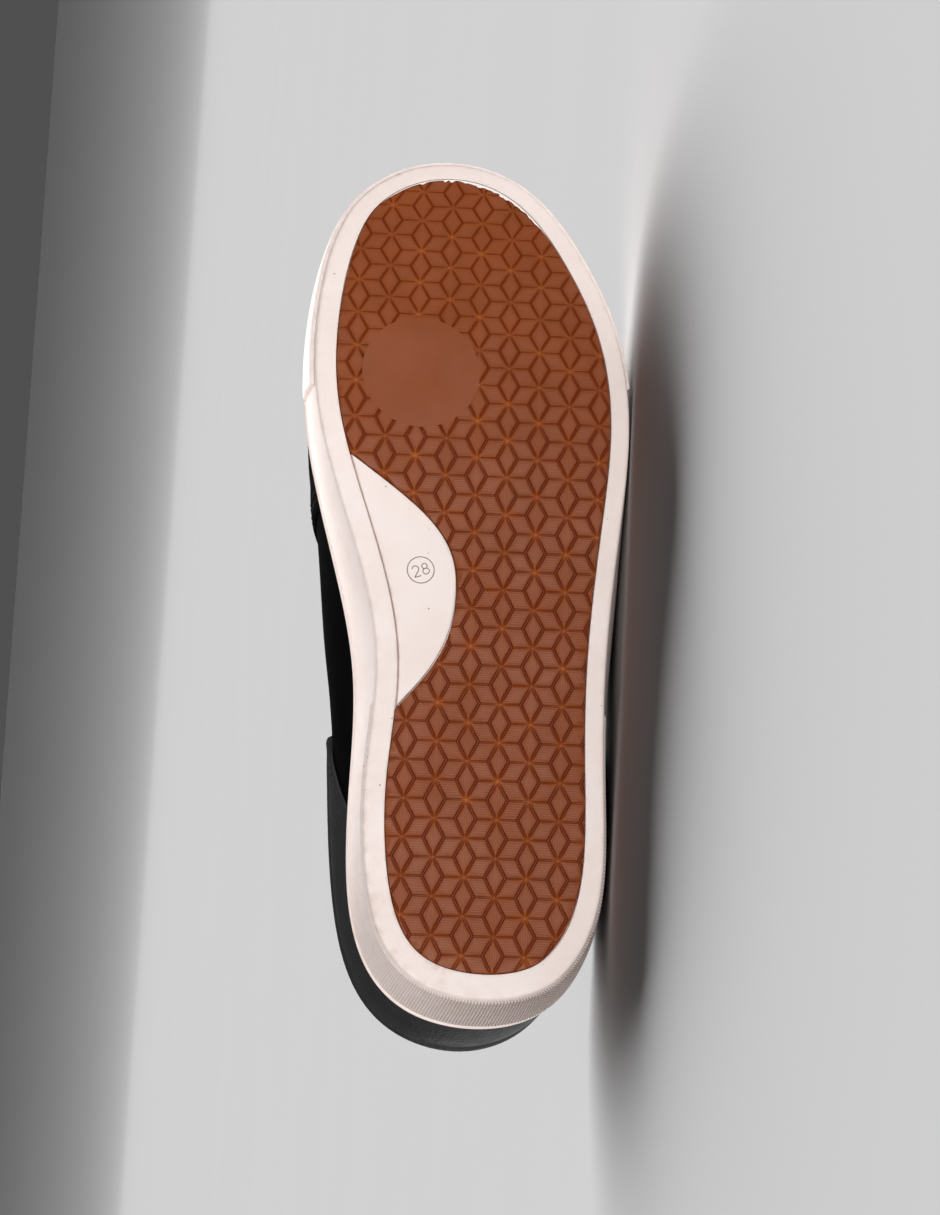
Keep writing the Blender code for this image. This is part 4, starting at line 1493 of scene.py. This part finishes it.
def make_heel_band():
    """The knurled band round the heel: rows of four-sided points between crossed diagonal grooves.

    On a grid of half pitches every other point is a peak, and each quad is split along the valley
    between its two peaks.
    """
    front = angle_of(BAND_OUTER_END)
    low_end = FULL - angle_of(BAND_INNER_END_LOW)
    high_end = FULL - angle_of(BAND_INNER_END_HIGH)
    ends = (front, front), (low_end, high_end)
    angle, share = band_grid(*ends, 3, LENGTH_SAMPLES)
    length = np.linalg.norm(np.diff(wall(angle, share)[0], axis=0), axis=1).sum()
    rows = 2 * int(round((BAND_HIGH - KNURL_LOW) * HEEL_WALL / KNURL_RISE)) + 1
    columns = 2 * int(round(length / KNURL_PITCH)) + 1
    angle, share = band_grid(*ends, rows, columns, KNURL_LOW)
    inset = border_distance(wall(angle, share))
    row, column = np.meshgrid(np.arange(rows), np.arange(columns), indexing="ij")
    peak = (row + column) % 2
    strong = np.exp(-(((angle - KNURL_STRONG) / KNURL_STRONG_WIDE) ** 2))
    fade = KNURL_LEAST + (1 - KNURL_LEAST) * strong
    pit = fade * ease(inset, *KNURL_BORDER) * (1 - peak)
    proud = GAP + HEEL_BAND_THICK * (PLAIN_BAND + (1 - PLAIN_BAND) * fade)
    thick = BAND_SEAT + (proud - BAND_SEAT) * pillow(inset, HEEL_BAND_ROUND)
    outer = off_surface(wall, angle, share, thick - KNURL_DEPTH * pit)
    inner = off_surface(wall, angle, share, BAND_SEAT + 0 * share)
    points, quads = two_sided(outer, inner)
    face, back = np.split(quads, 2)
    even = peak[:-1, :-1].ravel() == 0
    corners = np.where(even[:, None], face, np.roll(face, -1, 1))
    triangles = np.concatenate([corners[:, [0, 1, 2]], corners[:, [0, 2, 3]]])
    # Grime all over, with painted shade in the pits through the grime tag and the pit colour
    blank = np.zeros(peak.size)
    tags = {
        "grime_and_shade": np.concatenate([(KNURL_GRIME + PIT_SHADE * pit).ravel(), blank]),
        "pit": np.concatenate([PIT_DARK * pit.ravel(), blank]),
    }
    faces, replaced = [triangles, back], ["heel_band"]
    add_piece(
        "heel_knurl", points, faces, [WHITE], replaced, tags, sharp=KNURL_SHARP
    )


# Samples of the upper round the shoe and up its wall, how they crowd at the foot, and the share of
# the cup's inside where its foot is held as well
UPPER_ROUND = 400
UPPER_ROWS = 84
UPPER_CROWD = 1.15
UPPER_TUCK = 0.55
COLLAR_TURNS = np.linspace(0, math.pi, 7)[1:-1]


def make_upper():
    """The leather wall: out of the cup, up the creased outside, over the collar and down inside."""
    angle = np.arange(UPPER_ROUND) * FULL / UPPER_ROUND
    whole = np.ones(UPPER_ROUND)
    shares = np.linspace(0, 1, UPPER_ROWS) ** UPPER_CROWD
    grid_angle, grid_share = np.meshgrid(angle, shares)
    outside = skin(grid_angle, grid_share)
    outward = outward_of(skin, grid_angle, grid_share)
    inside = outside - UPPER_WALL * outward
    tip = outside[-1] - outside[-2]
    tip /= np.linalg.norm(tip, axis=-1, keepdims=True)
    middle = (outside[-1] + inside[-1]) / 2
    rows = [cup_inside(angle, share * whole, UPPER_CLEAR) for share in (UPPER_FOOT, UPPER_TUCK)]
    rows += list(outside)
    for turn in COLLAR_TURNS:
        over = math.cos(turn) * outward[-1] + math.sin(turn) * tip
        rows.append(middle + UPPER_WALL / 2 * over)
    turned = len(rows)
    rows += list(inside[::-1])
    within = UPPER_CLEAR + UPPER_WALL
    rows += [cup_inside(angle, share * whole, within) for share in (UPPER_TUCK, UPPER_FOOT)]
    points = np.stack(rows)
    quads = grid_faces(len(rows), UPPER_ROUND, close_rows=True, close_columns=True)
    lined = np.where(np.arange(len(rows)) >= turned - 1, 1, 0)
    marks = [np.repeat(lined, UPPER_ROUND).astype(np.int32)]
    finishes = [LEATHER, LINING]
    add_piece("upper_leather", points, [quads], finishes, ["upper"], marks=marks)


def margin_share(angle, margin):
    """Share of a rib at a distance below the collar, from the rib's speed there."""
    _, _, under, collar = rib_points(angle)
    return 1 - margin / (3 * np.linalg.norm(collar - under, axis=-1))


def overlay(angle, share, edge):
    """Points and faces of a leather panel over the upper, its border rounded over an edge width."""
    inset = border_distance(skin(angle, share))
    outer = off_surface(skin, angle, share, OVERLAY_GAP + OVERLAY_THICK * pillow(inset, edge))
    inner = off_surface(skin, angle, share, OVERLAY_GAP + 0 * share)
    return two_sided(outer, inner)


CROWD_POWER = 0.8


def border_crowd(count):
    """Shares from 0 to 1 that crowd at both ends, by a power of the distance from the end."""
    run = np.linspace(-1, 1, count)
    return 0.5 + 0.5 * np.sign(run) * (1 - (1 - np.abs(run)) ** (1 / CROWD_POWER))


# The panels' samples up and round, the rounding of their edges, and the vamp's start on the rib
VAMP_ROWS = 84
VAMP_COLUMNS = 190
VAMP_EDGE = 0.9
VAMP_START = 0.02
COUNTER_ROWS = 64
COUNTER_COLUMNS = 220
COUNTER_EDGE = 1.4
# The counter's top as a share of the rib, hidden under the roll
COUNTER_SEEN_TOP = 0.425


def make_vamp():
    """The smooth leather panel over the toe and vamp, from the cup's edge to below the collar."""
    angle = (2 * border_crowd(VAMP_COLUMNS) - 1)[None, :] * VAMP_BACK
    top = margin_share(angle, VAMP_COLLAR_MARGIN)
    share = VAMP_START + (top - VAMP_START) * border_crowd(VAMP_ROWS)[:, None]
    points, quads = overlay(angle + 0 * share, share, VAMP_EDGE)
    add_piece("vamp_leather", points, [quads], [LEATHER], ["vamp_panel"])


def counter_front(rise):
    """Angle of the heel counter's front edge, which leans forward as it rises."""
    return angle_of(COUNTER_FRONT_LOW + (COUNTER_FRONT_HIGH - COUNTER_FRONT_LOW) * rise)


def make_counter():
    """The grained leather panel round the heel."""
    rise = border_crowd(COUNTER_ROWS)[:, None]
    front = counter_front(rise)
    angle = front + (FULL - 2 * front) * border_crowd(COUNTER_COLUMNS)[None, :]
    share = OVERLAY_START + (COUNTER_SEEN_TOP - OVERLAY_START) * rise + 0 * angle
    points, quads = overlay(angle, share, COUNTER_EDGE)
    add_piece("counter_leather", points, [quads], [PEBBLED], ["heel_counter"])


# The padded roll: where on the rib it starts, its margin below the collar, its thickness on the
# outer side and elsewhere, and the angles between which it fills out
ROLL_ROWS = 46
ROLL_START = 0.415
ROLL_TOP_MARGIN = 4.5
ROLL_FLAT = 1.2
ROLL_FULL = 2.9
ROLL_FILLS = (2.5, 3.2)
# How much of the thickness it loses as it rises, between which shares, and the width of its edge
ROLL_THINS = 0.75
ROLL_THINS_SPAN = (0.15, 0.9)
ROLL_EDGE = 3.0
# Gap under what is sewn to the leather
SEWN_GAP = 0.05


def make_heel_roll():
    """The padded roll above the counter: thick along its low edge, thin above and outside."""
    rise = border_crowd(ROLL_ROWS)[:, None]
    front = float(counter_front(1.0))
    angle = front + (FULL - 2 * front) * border_crowd(COUNTER_COLUMNS)[None, :]
    top = margin_share(angle, ROLL_TOP_MARGIN)
    share = ROLL_START + (top - ROLL_START) * rise
    angle = angle + 0 * share
    inset = border_distance(skin(angle, share))
    full = ROLL_FLAT + (ROLL_FULL - ROLL_FLAT) * ease(angle, *ROLL_FILLS)
    thick = full * (1 - ROLL_THINS * ease(rise, *ROLL_THINS_SPAN)) * pillow(inset, ROLL_EDGE)
    outer = off_surface(skin, angle, share, SEWN_GAP + thick)
    inner = off_surface(skin, angle, share, SEWN_GAP + 0 * share)
    points, quads = two_sided(outer, inner)
    piece = add_piece("heel_roll", points, [quads], [PEBBLED], ["heel_counter"])


# The binding's half height and half width, how far its middle is below the edge, and its sides
BINDING_HIGH = 2.6
BINDING_WIDE = 1.75
BINDING_DOWN = 0.9
BINDING_SIDES = 20
# A short way down a rib, as a share
RIB_STEP = 0.01


def make_binding():
    """The soft binding over the collar's edge: an oval carried round the collar."""
    angle = np.arange(UPPER_ROUND) * FULL / UPPER_ROUND
    top = np.ones(UPPER_ROUND)
    outward = outward_of(skin, angle, top)
    tip = skin(angle, top) - skin(angle, top - RIB_STEP)
    tip /= np.linalg.norm(tip, axis=-1, keepdims=True)
    middle = skin(angle, top) - UPPER_WALL / 2 * outward - BINDING_DOWN * tip
    turn = np.arange(BINDING_SIDES)[None, :, None] * FULL / BINDING_SIDES
    oval = BINDING_WIDE * np.cos(turn) * outward[:, None]
    oval = oval + BINDING_HIGH * np.sin(turn) * tip[:, None]
    quads = grid_faces(UPPER_ROUND, BINDING_SIDES, close_rows=True, close_columns=True)
    add_piece("collar_binding", middle[:, None] + oval, [quads], [LEATHER])


# The collar's padding: its low and high margins below the collar, its thickness, the share of it
# at the front, the power of its crown, and its rows
COLLAR_PAD_TALL = 27.0
COLLAR_PAD_TOP = 1.5
COLLAR_PAD_THICK = 4.2
COLLAR_PAD_FRONT = 0.55
COLLAR_PAD_CROWN = 0.7
COLLAR_PAD_ROWS = 26


def make_collar_pad():
    """The padded collar lining: a band inside the upper, crowned between its two sewn edges."""
    angle = np.arange(UPPER_ROUND)[None, :] * FULL / UPPER_ROUND
    rise = np.linspace(0, 1, COLLAR_PAD_ROWS)[:, None]
    low, high = margin_share(angle, COLLAR_PAD_TALL), margin_share(angle, COLLAR_PAD_TOP)
    share = low + (high - low) * rise
    angle = angle + 0 * share
    round_heel = COLLAR_PAD_FRONT + (1 - COLLAR_PAD_FRONT) * (0.5 - 0.5 * np.cos(angle))
    crown = COLLAR_PAD_THICK * round_heel * np.sin(math.pi * rise) ** COLLAR_PAD_CROWN
    outer = off_surface(skin, angle, share, -UPPER_WALL - SEWN_GAP + 0 * share)
    inner = off_surface(skin, angle, share, -UPPER_WALL - SEWN_GAP - crown)
    points, quads = two_sided(inner, outer, close_columns=True)
    piece = add_piece("collar_pad", points, [quads], [LINING])


# The foot bed: its dish, the width and drop of its rounded edge, and its samples
FOOTBED_DISH = 1.0
FOOTBED_EDGE = 1.2
FOOTBED_DROP = 0.7
FOOTBED_LINE = 700
FOOTBED_STATIONS = 200
FOOTBED_ACROSS = 30
FOOTBED_SHORT = 0.02
# Its rise under the arch: height, middle along, half length, and shares across where it comes in
ARCH_RISE = 2.2
ARCH_RISE_ALONG = 128
ARCH_RISE_LONG = 34
ARCH_RISE_SIDE = (0.1, 1.0)


def make_footbed():
    """The foot bed: strips across, dished a little, with a low rise under the arch."""
    clear = UPPER_CLEAR + UPPER_WALL + GAP
    half = np.linspace(0, math.pi, FOOTBED_LINE)
    outer_line = cup_inside(half, 0 * half, clear)[::-1]
    inner_line = cup_inside(FULL - half, 0 * half, clear)[::-1]
    start = max(outer_line[0, 0], inner_line[0, 0])
    end = min(outer_line[-1, 0], inner_line[-1, 0])
    station = start + (end - start) * crowded_run(FOOTBED_STATIONS, FOOTBED_SHORT)
    low = np.interp(station, inner_line[:, 0], inner_line[:, 1])
    high = np.interp(station, outer_line[:, 0], outer_line[:, 1])
    across = edge_samples(low, high, FOOTBED_EDGE, FOOTBED_ACROSS)
    inset = np.minimum(across - low[:, None], high[:, None] - across)
    side = 2 * (across - low[:, None]) / (high - low)[:, None] - 1
    bottom = cup_floor(station)[:, None] + GAP
    arch = np.exp(-(((station[:, None] - ARCH_RISE_ALONG) / ARCH_RISE_LONG) ** 2))
    arch = ARCH_RISE * arch * ease(-side, *ARCH_RISE_SIDE)
    drop = FOOTBED_DROP * np.clip(1 - inset / FOOTBED_EDGE, 0, 1) ** 2
    top = bottom + INSOLE_THICK - FOOTBED_DISH + FOOTBED_DISH * side**4 + arch - drop
    points, faces = strip_slab(station, across, top, bottom)
    add_piece("footbed_pad", points, faces, [FOOTBED], ["insole"])


# A stitch: pitch, length, half width and half height, its rings and sides, the share of its
# fullness in the middle and at its ends, and how far ahead its direction is taken
STITCH_PITCH = 3.1
STITCH_LONG = 2.35
STITCH_WIDE = 0.34
STITCH_HIGH = 0.26
STITCH_RINGS = 7
STITCH_SIDES = 6
STITCH_FULL = 0.92
STITCH_BLUNT = 0.02
STITCH_AHEAD = 0.3


def stitches(angle, share, height):
    """Points and faces of a row of stitches: small lozenges along a path on the upper.

    The path is cut into even steps of one stitch. A stitch is an ellipse along the path whose
    section is a circle, squeezed to its width and height.
    """
    path = off_surface(skin, angle, share, height + 0 * share)
    outward = outward_of(skin, angle, share)
    far = np.concatenate([[0], np.cumsum(np.linalg.norm(np.diff(path, axis=0), axis=1))])
    count = int(far[-1] // STITCH_PITCH)
    at = (np.arange(count) + 0.5) * far[-1] / count

    def along_path(places, values):
        return np.stack([np.interp(places, far, column) for column in values.T], -1)

    middle = along_path(at, path)
    above = along_path(at, outward)
    above /= np.linalg.norm(above, axis=1, keepdims=True)
    ahead = along_path(at + STITCH_AHEAD, path) - middle
    ahead -= (ahead * above).sum(1, keepdims=True) * above
    ahead /= np.linalg.norm(ahead, axis=1, keepdims=True)
    beside = np.cross(above, ahead)
    run = np.sin(np.linspace(-math.pi / 2, math.pi / 2, STITCH_RINGS))[None, :, None, None]
    turn = np.arange(STITCH_SIDES)[:, None] * FULL / STITCH_SIDES
    thick = np.sqrt(np.maximum(1 - run**2, 0)) * STITCH_FULL + STITCH_BLUNT
    shape = (
        STITCH_LONG / 2 * run * ahead[:, None, None]
        + STITCH_WIDE * thick * np.cos(turn) * beside[:, None, None]
        + STITCH_HIGH * thick * np.sin(turn) * above[:, None, None]
    )
    points = (middle[:, None, None] + shape).reshape(-1, 3)
    step = np.arange(count)[:, None, None] * STITCH_RINGS * STITCH_SIDES
    quads = (step + grid_faces(STITCH_RINGS, STITCH_SIDES, close_columns=True)).reshape(-1, 4)
    ends = [step[:, 0] + cap for cap in end_caps(STITCH_RINGS, STITCH_SIDES)]
    return points, [quads, *ends]


# Seams: distances of the two rows from a panel's edge, of the single row from the vamp's top and
# from the collar, and the shares of the panels' height where the rows start
SEAM_INSETS = (2.4, 5.0)
VAMP_TOP_INSET = 2.4
COLLAR_INSET = 5.2
VAMP_SEAM_START = 0.06
COUNTER_SEAM_START = 0.10
# Millimetres to the radian at the vamp's back edges and the counter's front edges, the counter's
# height, and how far the vamp's top row stays from its ends, in radians
VAMP_ARM = 128.0
COUNTER_ARM = 120.0
COUNTER_TALL = 30.0
VAMP_ROW_SHORT = 0.03
# Samples along the rows: up the vamp, along its top, up the counter and round the collar
VAMP_SEAM_SAMPLES = 240
VAMP_TOP_SAMPLES = 500
COUNTER_SEAM_SAMPLES = 200
COLLAR_SAMPLES = 900


def make_stitches():
    """Sewn rows: two along each side edge of the panels, one on the vamp's top and the collar."""
    panel = OVERLAY_GAP + OVERLAY_THICK
    below_collar = VAMP_COLLAR_MARGIN + VAMP_TOP_INSET
    rows = []
    for side in (-1, 1):
        for inset in SEAM_INSETS:
            share = np.linspace(VAMP_SEAM_START, 1, VAMP_SEAM_SAMPLES)
            angle = side * (VAMP_BACK - inset / VAMP_ARM) + 0 * share
            rows.append((angle, share * margin_share(angle, below_collar), panel))
    angle = np.linspace(-1, 1, VAMP_TOP_SAMPLES) * (VAMP_BACK - VAMP_ROW_SHORT)
    rows.append((angle, margin_share(angle, below_collar), panel))
    for inset in SEAM_INSETS:
        rise = np.linspace(COUNTER_SEAM_START, 1 - inset / COUNTER_TALL, COUNTER_SEAM_SAMPLES)
        lead = counter_front(rise) + inset / COUNTER_ARM
        share = OVERLAY_START + (COUNTER_SEEN_TOP - OVERLAY_START) * rise
        rows += [(lead, share, panel), (FULL - lead, share, panel)]
    angle = np.linspace(0, FULL, COLLAR_SAMPLES)
    rows.append((angle, margin_share(angle, COLLAR_INSET), 0.0))
    points, faces = joined([stitches(*row) for row in rows])
    add_piece("seam_stitches", points, faces, [THREAD])


# The floor in metres: the radius of its flat, and the radius and turn of its sweep
FLOOR_FLAT = 12.0
FLOOR_SWEEP = 5.0
SWEEP_TURN = math.radians(25.0)
# Its hole in the middle, closed by a cap, and its samples outwards and round
FLOOR_START = 0.02
FLAT_RINGS = 24
SWEEP_RINGS = 25
FLOOR_ROUND = 96


def make_floor():
    """A pale floor that sweeps up far away: flat to a radius, then part of a circle."""
    flat = np.linspace(FLOOR_START, FLOOR_FLAT, FLAT_RINGS)
    turn = np.linspace(0, SWEEP_TURN, SWEEP_RINGS)[1:]
    radius = np.concatenate([flat, FLOOR_FLAT + FLOOR_SWEEP * np.sin(turn)])[:, None]
    height = np.concatenate([0 * flat, FLOOR_SWEEP * (1 - np.cos(turn))])[:, None]
    angle = np.arange(FLOOR_ROUND) * FULL / FLOOR_ROUND
    points = np.stack([radius * np.cos(angle), radius * np.sin(angle), height + 0 * angle], -1)
    quads = grid_faces(len(radius), FLOOR_ROUND, close_columns=True)[:, ::-1]
    cap = list(range(FLOOR_ROUND))
    mesh = bpy.data.meshes.new("floor")
    mesh.from_pydata(points.reshape(-1, 3).tolist(), [], [*quads.tolist(), cap])
    mesh.polygons.foreach_set("use_smooth", np.ones(len(mesh.polygons), bool))
    mesh.materials.append(PAINT)
    floor = new_object("floor", mesh)
    return floor


def turn_to(direction, above=(0.0, 0.0, 1.0)):
    """A turn whose -Z points along a direction, with its Y as near as can be to another."""
    back = -np.asarray(direction, float)
    back /= np.linalg.norm(back)
    side = np.cross(above, back)
    side /= np.linalg.norm(side)
    return Matrix(np.column_stack([side, np.cross(back, side), back]).tolist()).to_4x4()


def make_camera():
    """The camera below the sole, rolled so that the toe is up, and turned to the shoe's middle."""
    sideways = math.sin(LOOK_TO_FLOOR)
    ahead = math.sin(LOOK_TO_TOE)
    look = np.array([ahead, sideways, math.sqrt(1 - ahead**2 - sideways**2)])
    above = np.array([1.0, 0.0, 0.0])
    above -= look * above.dot(look)
    above /= np.linalg.norm(above)
    right = np.cross(look, above)
    above = math.cos(ROLL) * above + math.sin(ROLL) * right
    right = np.cross(look, above)
    stand = np.array(AXIS_MEETS_SOLE) - DISTANCE * look
    look = look + TURN_TO_SHOE * right + LIFT_TO_SHOE * above
    camera = bpy.data.cameras.new("camera")
    camera.sensor_width = SENSOR
    camera.lens = SENSOR * LENS_PIXELS / PICTURE_HEIGHT
    camera.clip_end = CLIP_END
    made = new_object("camera", camera)
    facing = turn_to(look @ AXES, above @ AXES)
    made.matrix_world = Matrix.Translation(world(stand).tolist()) @ facing
    bpy.context.scene.camera = made


# Strength of the white surround
SURROUND = 0.08
# Suns: the direction of their light, strength, width in degrees, and whether they light the shoe
# or the floor
SUNS = (
    ("key", (0.17, 0.98, -0.09), 2.45, 8.0, "shoe"),
    ("shoe_back", (-0.30, -0.89, -0.33), 5.5, 32.0, "shoe"),
    ("floor_back", (-0.37, -0.89, -0.27), 12.4, 44.0, "floor"),
)
# Strip lamps over the inner side and by the heel: where they stand and look, their sizes in metres
# and their watts
STRIPS = (
    ("side_strip", (0.07, 0.06, 0.19), (0.07, -0.03, 0.105), (0.30, 0.05), 0.34),
    ("heel_strip", (-0.215, 0.01, 0.165), (-0.125, -0.03, 0.075), (0.10, 0.05), 0.05),
)


def light_only(lamp, things):
    """Lets a lamp light only some things. The others still throw shadows in it."""
    group = bpy.data.collections.new(lamp.name + "_lights")
    for thing in things:
        group.objects.link(thing)
    lamp.light_linking.receiver_collection = group


def make_lights(floor):
    """Soft studio light: a dim surround, a key on the sole, low back lights and two strips.

    The key and a back light fall on the shoe only, the wide back light on the floor only.
    """
    surround = bpy.data.worlds.new("surround")
    bpy.context.scene.world = surround
    surround.use_nodes = True
    background = surround.node_tree.nodes["Background"]
    background.inputs["Color"].default_value = (1.0, 1.0, 1.0, 1.0)
    background.inputs["Strength"].default_value = SURROUND
    meshes = [thing for thing in bpy.context.scene.objects if thing.type == "MESH"]
    lit = {"floor": [floor], "shoe": [thing for thing in meshes if thing != floor]}
    for name, direction, strength, width, lights in SUNS:
        sun = bpy.data.lights.new(name, "SUN")
        sun.energy = strength
        sun.angle = math.radians(width)
        made = new_object(name, sun)
        made.matrix_world = turn_to(direction)
        made.visible_glossy = name == "key"
        light_only(made, lit[lights])
    for name, stand, looks, size, power in STRIPS:
        strip = bpy.data.lights.new(name, "AREA")
        strip.shape = "RECTANGLE"
        strip.size, strip.size_y = size
        strip.energy = power
        made = new_object(name, strip)
        made.visible_camera = False
        made.visible_glossy = False
        facing = turn_to(np.array(looks) - np.array(stand), (0.0, 1.0, 0.0))
        made.matrix_world = Matrix.Translation(stand) @ facing
        light_only(made, lit["shoe"])


make_camera()
stage_floor = make_floor()
make_cup()
make_tread()
make_arch_insert()
make_size_mark()
make_flash()
make_toe_bumper()
make_heel_band()
make_upper()
make_vamp()
make_counter()
make_heel_roll()
make_binding()
make_collar_pad()
make_footbed()
make_stitches()
make_lights(stage_floor)

bpy.context.scene.view_settings.view_transform = "Standard"
